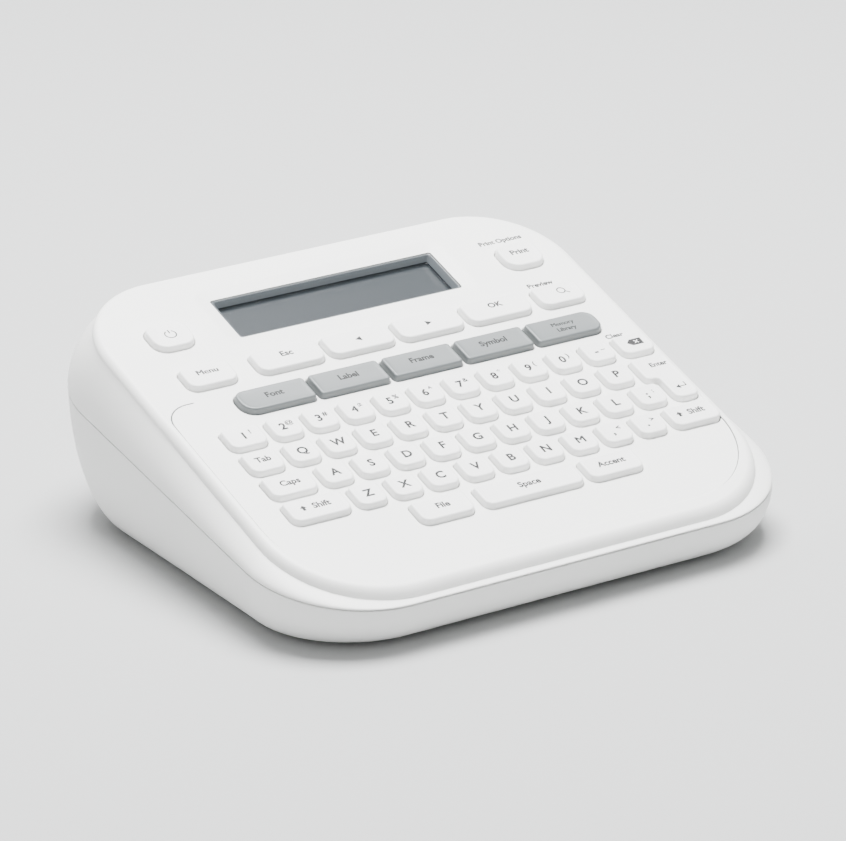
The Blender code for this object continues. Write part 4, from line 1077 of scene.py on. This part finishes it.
for x, y in underside["screws"]:
    pit, top = underside["pit"], baseZ + underside["pitDeep"]
    profile = (
        (0, baseZ - 1 * mm), (pit + 0.2 * mm, baseZ - 1 * mm), (pit, baseZ + 0.2 * mm), (pit, top), (0, top)
    )
    addTurned(cutter, profile, Matrix.Translation((x, y, 0)))
(plateX0, plateY0), (plateX1, plateY1) = underside["plate"]
plateOutline = roundedOutline((plateX0, plateX1), (plateY0, plateY1), [1.5 * mm] * 4, 5)
skin(
    cutter,
    [placed(plateOutline, Matrix.Identity(4), z) for z in (baseZ - 1 * mm, baseZ + underside["plateDeep"])],
)
bm = bmesh.new()
skin(bm, lowerLoops())
lowerMesh = cutAway(bm, cutter)
finishPiece("lower_shell", lowerMesh, [shellAbs], "case", ["lower_case"], 30, True)
print("lower shell made:", len(lowerMesh.polygons), "faces")

cover = {
    "radius": 5.6 * mm,
    "edge": 0.4 * mm,
    "ribs": 5,
    "ribPitch": 2.2 * mm,
    "ribHalf": 14 * mm,  # half a rib's length
    "rail": 22 * mm,  # from the middle to each rail
}
bm = bmesh.new()


def coverLoop(inset, z):
    outline = roundedOutline(
        (coverLow.x + inset, coverHigh.x - inset),
        (coverLow.y + inset, coverHigh.y - inset),
        [cover["radius"] - inset] * 4,
        8,
    )
    return placed(outline, Matrix.Identity(4), z)


edge = cover["edge"]
skin(
    bm,
    [
        coverLoop(edge, coverLow.z),
        coverLoop(edge * 0.3, coverLow.z + edge * 0.3),
        coverLoop(0, coverLow.z + edge),
        coverLoop(0, coverHigh.z - edge),
        coverLoop(edge, coverHigh.z),
    ],
)
coverX = (coverLow.x + coverHigh.x) / 2
for rib in range(cover["ribs"]):  # raised ribs for the thumb beside the latch
    y = coverHigh.y - 6 * mm - rib * cover["ribPitch"]
    low = (coverX - cover["ribHalf"], y - 0.5 * mm, coverLow.z - 0.45 * mm)
    addBlock(bm, low, (coverX + cover["ribHalf"], y + 0.5 * mm, coverLow.z + 0.3 * mm), 0.3 * mm)
for side in (-1, 1):  # a short rail at each end of the ribs
    x = coverX + side * cover["rail"]
    low = (x - 0.5 * mm, coverHigh.y - 16 * mm, coverLow.z - 0.35 * mm)
    addBlock(bm, low, (x + 0.5 * mm, coverHigh.y - 5 * mm, coverLow.z + 0.3 * mm), 0.3 * mm)
makePiece("battery_cover", bm, [coverAbs], "back_cover", ["back_cover"], 30, True)

# cross-head screws in their pits, and the blank rating plate
bm = bmesh.new()
for x, y in underside["screws"]:
    top = baseZ + underside["pitDeep"]
    screw = bmesh.new()
    head = (
        (0, top - 1.1 * mm),
        (1.4 * mm, top - 1.05 * mm),
        (2.3 * mm, top - 0.75 * mm),
        (2.7 * mm, top - 0.3 * mm),
    )
    addTurned(
        screw, (*head, (2.7 * mm, top + 0.3 * mm), (0, top + 0.3 * mm)), Matrix.Translation((x, y, 0)), 24
    )
    for wide, tall in ((1.5 * mm, 0.28 * mm), (0.28 * mm, 1.5 * mm)):  # one arm of the cross at a time
        arm = bmesh.new()
        outline = roundedOutline((x - wide, x + wide), (y - tall, y + tall), [0.1 * mm] * 4, 2)
        skin(arm, [placed(outline, Matrix.Identity(4), z) for z in (top - 2 * mm, top - 0.5 * mm)])
        cutHead = cutAway(screw, arm)
        screw = bmesh.new()
        screw.from_mesh(cutHead)
    bm.from_mesh(cutHead)
    screw.free()
makePiece("case_screws", bm, [screwZinc], "case", smoothAngle=40)
bm = bmesh.new()
plateTop = baseZ + underside["plateDeep"]


def plateLoop(inset, z):
    x, y = (plateX0 + inset, plateX1 - inset), (plateY0 + inset, plateY1 - inset)
    return placed(roundedOutline(x, y, [1.5 * mm] * 4, 5), Matrix.Identity(4), z)


skin(
    bm,
    [
        plateLoop(0.3 * mm, plateTop - 0.12 * mm),
        plateLoop(0.25 * mm, plateTop - 0.08 * mm),
        plateLoop(0.25 * mm, plateTop + 0.1 * mm),
    ],
)
makePiece("rating_plate", bm, [platePolyester], "case")

# feet: rubber pads with a softened rim
for node in ("foot_front_left", "foot_front_right", "foot_back_left", "foot_back_right"):
    low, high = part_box(node)
    radius = (high.x - low.x) / 2
    spot = Matrix.Translation(((low.x + high.x) / 2, (low.y + high.y) / 2, 0))
    bm = bmesh.new()
    profile = (
        (0, 0.15 * mm), (radius - 1.2 * mm, 0.1 * mm), (radius - 0.6 * mm, 0), (radius - 0.15 * mm, 0.12 * mm)
    )
    addTurned(bm, (*profile, (radius, 0.4 * mm), (radius, high.z), (0, high.z)), spot)
    makePiece(node.replace("foot", "pad"), bm, [nitrileRubber], "case", [node])
print("lower case made")

# the cutter button's return spring: an open coil of wire, built at rest
spring = {"turns": 4, "wire": 0.35 * mm, "perTurn": 24}
springLow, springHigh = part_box("cutter_spring")
coilRadius = (springHigh.x - springLow.x) / 2 - spring["wire"]
fixedEnd = springLow.y + spring["wire"]
freeEnd = springHigh.y - spring["wire"]
coil = bpy.data.curves.new("coil", "CURVE")
coil.dimensions = "3D"
coil.bevel_depth, coil.bevel_resolution, coil.use_fill_caps = spring["wire"], 3, True
turn = coil.splines.new("POLY")
count = spring["turns"] * spring["perTurn"]
turn.points.add(count)
for i, point in enumerate(turn.points):
    spot = Matrix.Rotation(math.tau * i / spring["perTurn"], 4, "Y") @ Vector((coilRadius, 0, 0))
    along = fixedEnd + (freeEnd - fixedEnd) * i / count
    point.co = (
        spot.x + (springLow.x + springHigh.x) / 2, along, spot.z + (springLow.z + springHigh.z) / 2, 1
    )
coilMesh = curveMesh(coil)
returnSpring = finishPiece(
    "return_spring", coilMesh, [springSteel], "case", ["cutter_spring"], 40
)
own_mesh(returnSpring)
print("spring made")

floorPaper = plastic("studioPaper", "#B4B5B5", "#B1B2B2", 0.85, 3 * mm, 0.01 * mm, 300 * mm, 1.45)
bm = bmesh.new()
bmesh.ops.create_grid(bm, x_segments=1, y_segments=1, size=6)
floorMesh = bpy.data.meshes.new("floor")
bm.to_mesh(floorMesh)
bm.free()
floorMesh.materials.append(floorPaper)
floorObject = bpy.data.objects.new("floor", floorMesh)
bpy.context.scene.collection.objects.link(floorObject)

world = bpy.data.worlds.new("studio")
bpy.context.scene.world = world
world.use_nodes = True
world.node_tree.nodes["Background"].inputs["Color"].default_value = linear("#F1F2F3")
world.node_tree.nodes["Background"].inputs["Strength"].default_value = 0.72  # soft light from all round

lamps = {
    "key": {"at": (0.15, 0.2, 1.3), "size": 0.8, "power": 88},
    "fill": {"at": (-1.2, -1.1, 0.9), "size": 1.2, "power": 4.2},
    "back": {"at": (0.3, 1.2, 0.8), "size": 0.9, "power": 8.3},
}
aim = Vector((0, 0, (cadLow.z + cadHigh.z) / 2))
for name, lamp in lamps.items():
    light = bpy.data.lights.new(name, "AREA")
    light.shape, light.size, light.energy = "SQUARE", lamp["size"], lamp["power"]
    holder = bpy.data.objects.new(name, light)
    holder.location = lamp["at"]
    holder.rotation_euler = (aim - Vector(lamp["at"])).to_track_quat("-Z", "Y").to_euler()
    bpy.context.scene.collection.objects.link(holder)

view = {"at": Vector((-0.7309, -1.2063, 0.5705)), "aim": Vector((0.002, 0, 0.034)), "lens": 200, "roll": 1.5}
camera = bpy.data.cameras.new("camera")
camera.lens = view["lens"]
camera.sensor_width = 36
camera.clip_start, camera.clip_end = 0.05, 20
cameraObject = bpy.data.objects.new("camera", camera)
cameraObject.matrix_world = (
    Matrix.Translation(view["at"])
    @ (view["aim"] - view["at"]).to_track_quat("-Z", "Y").to_matrix().to_4x4()
    @ Matrix.Rotation(math.radians(-view["roll"]), 4, "Z")
)
bpy.context.scene.collection.objects.link(cameraObject)
bpy.context.scene.camera = cameraObject
print("stage made")
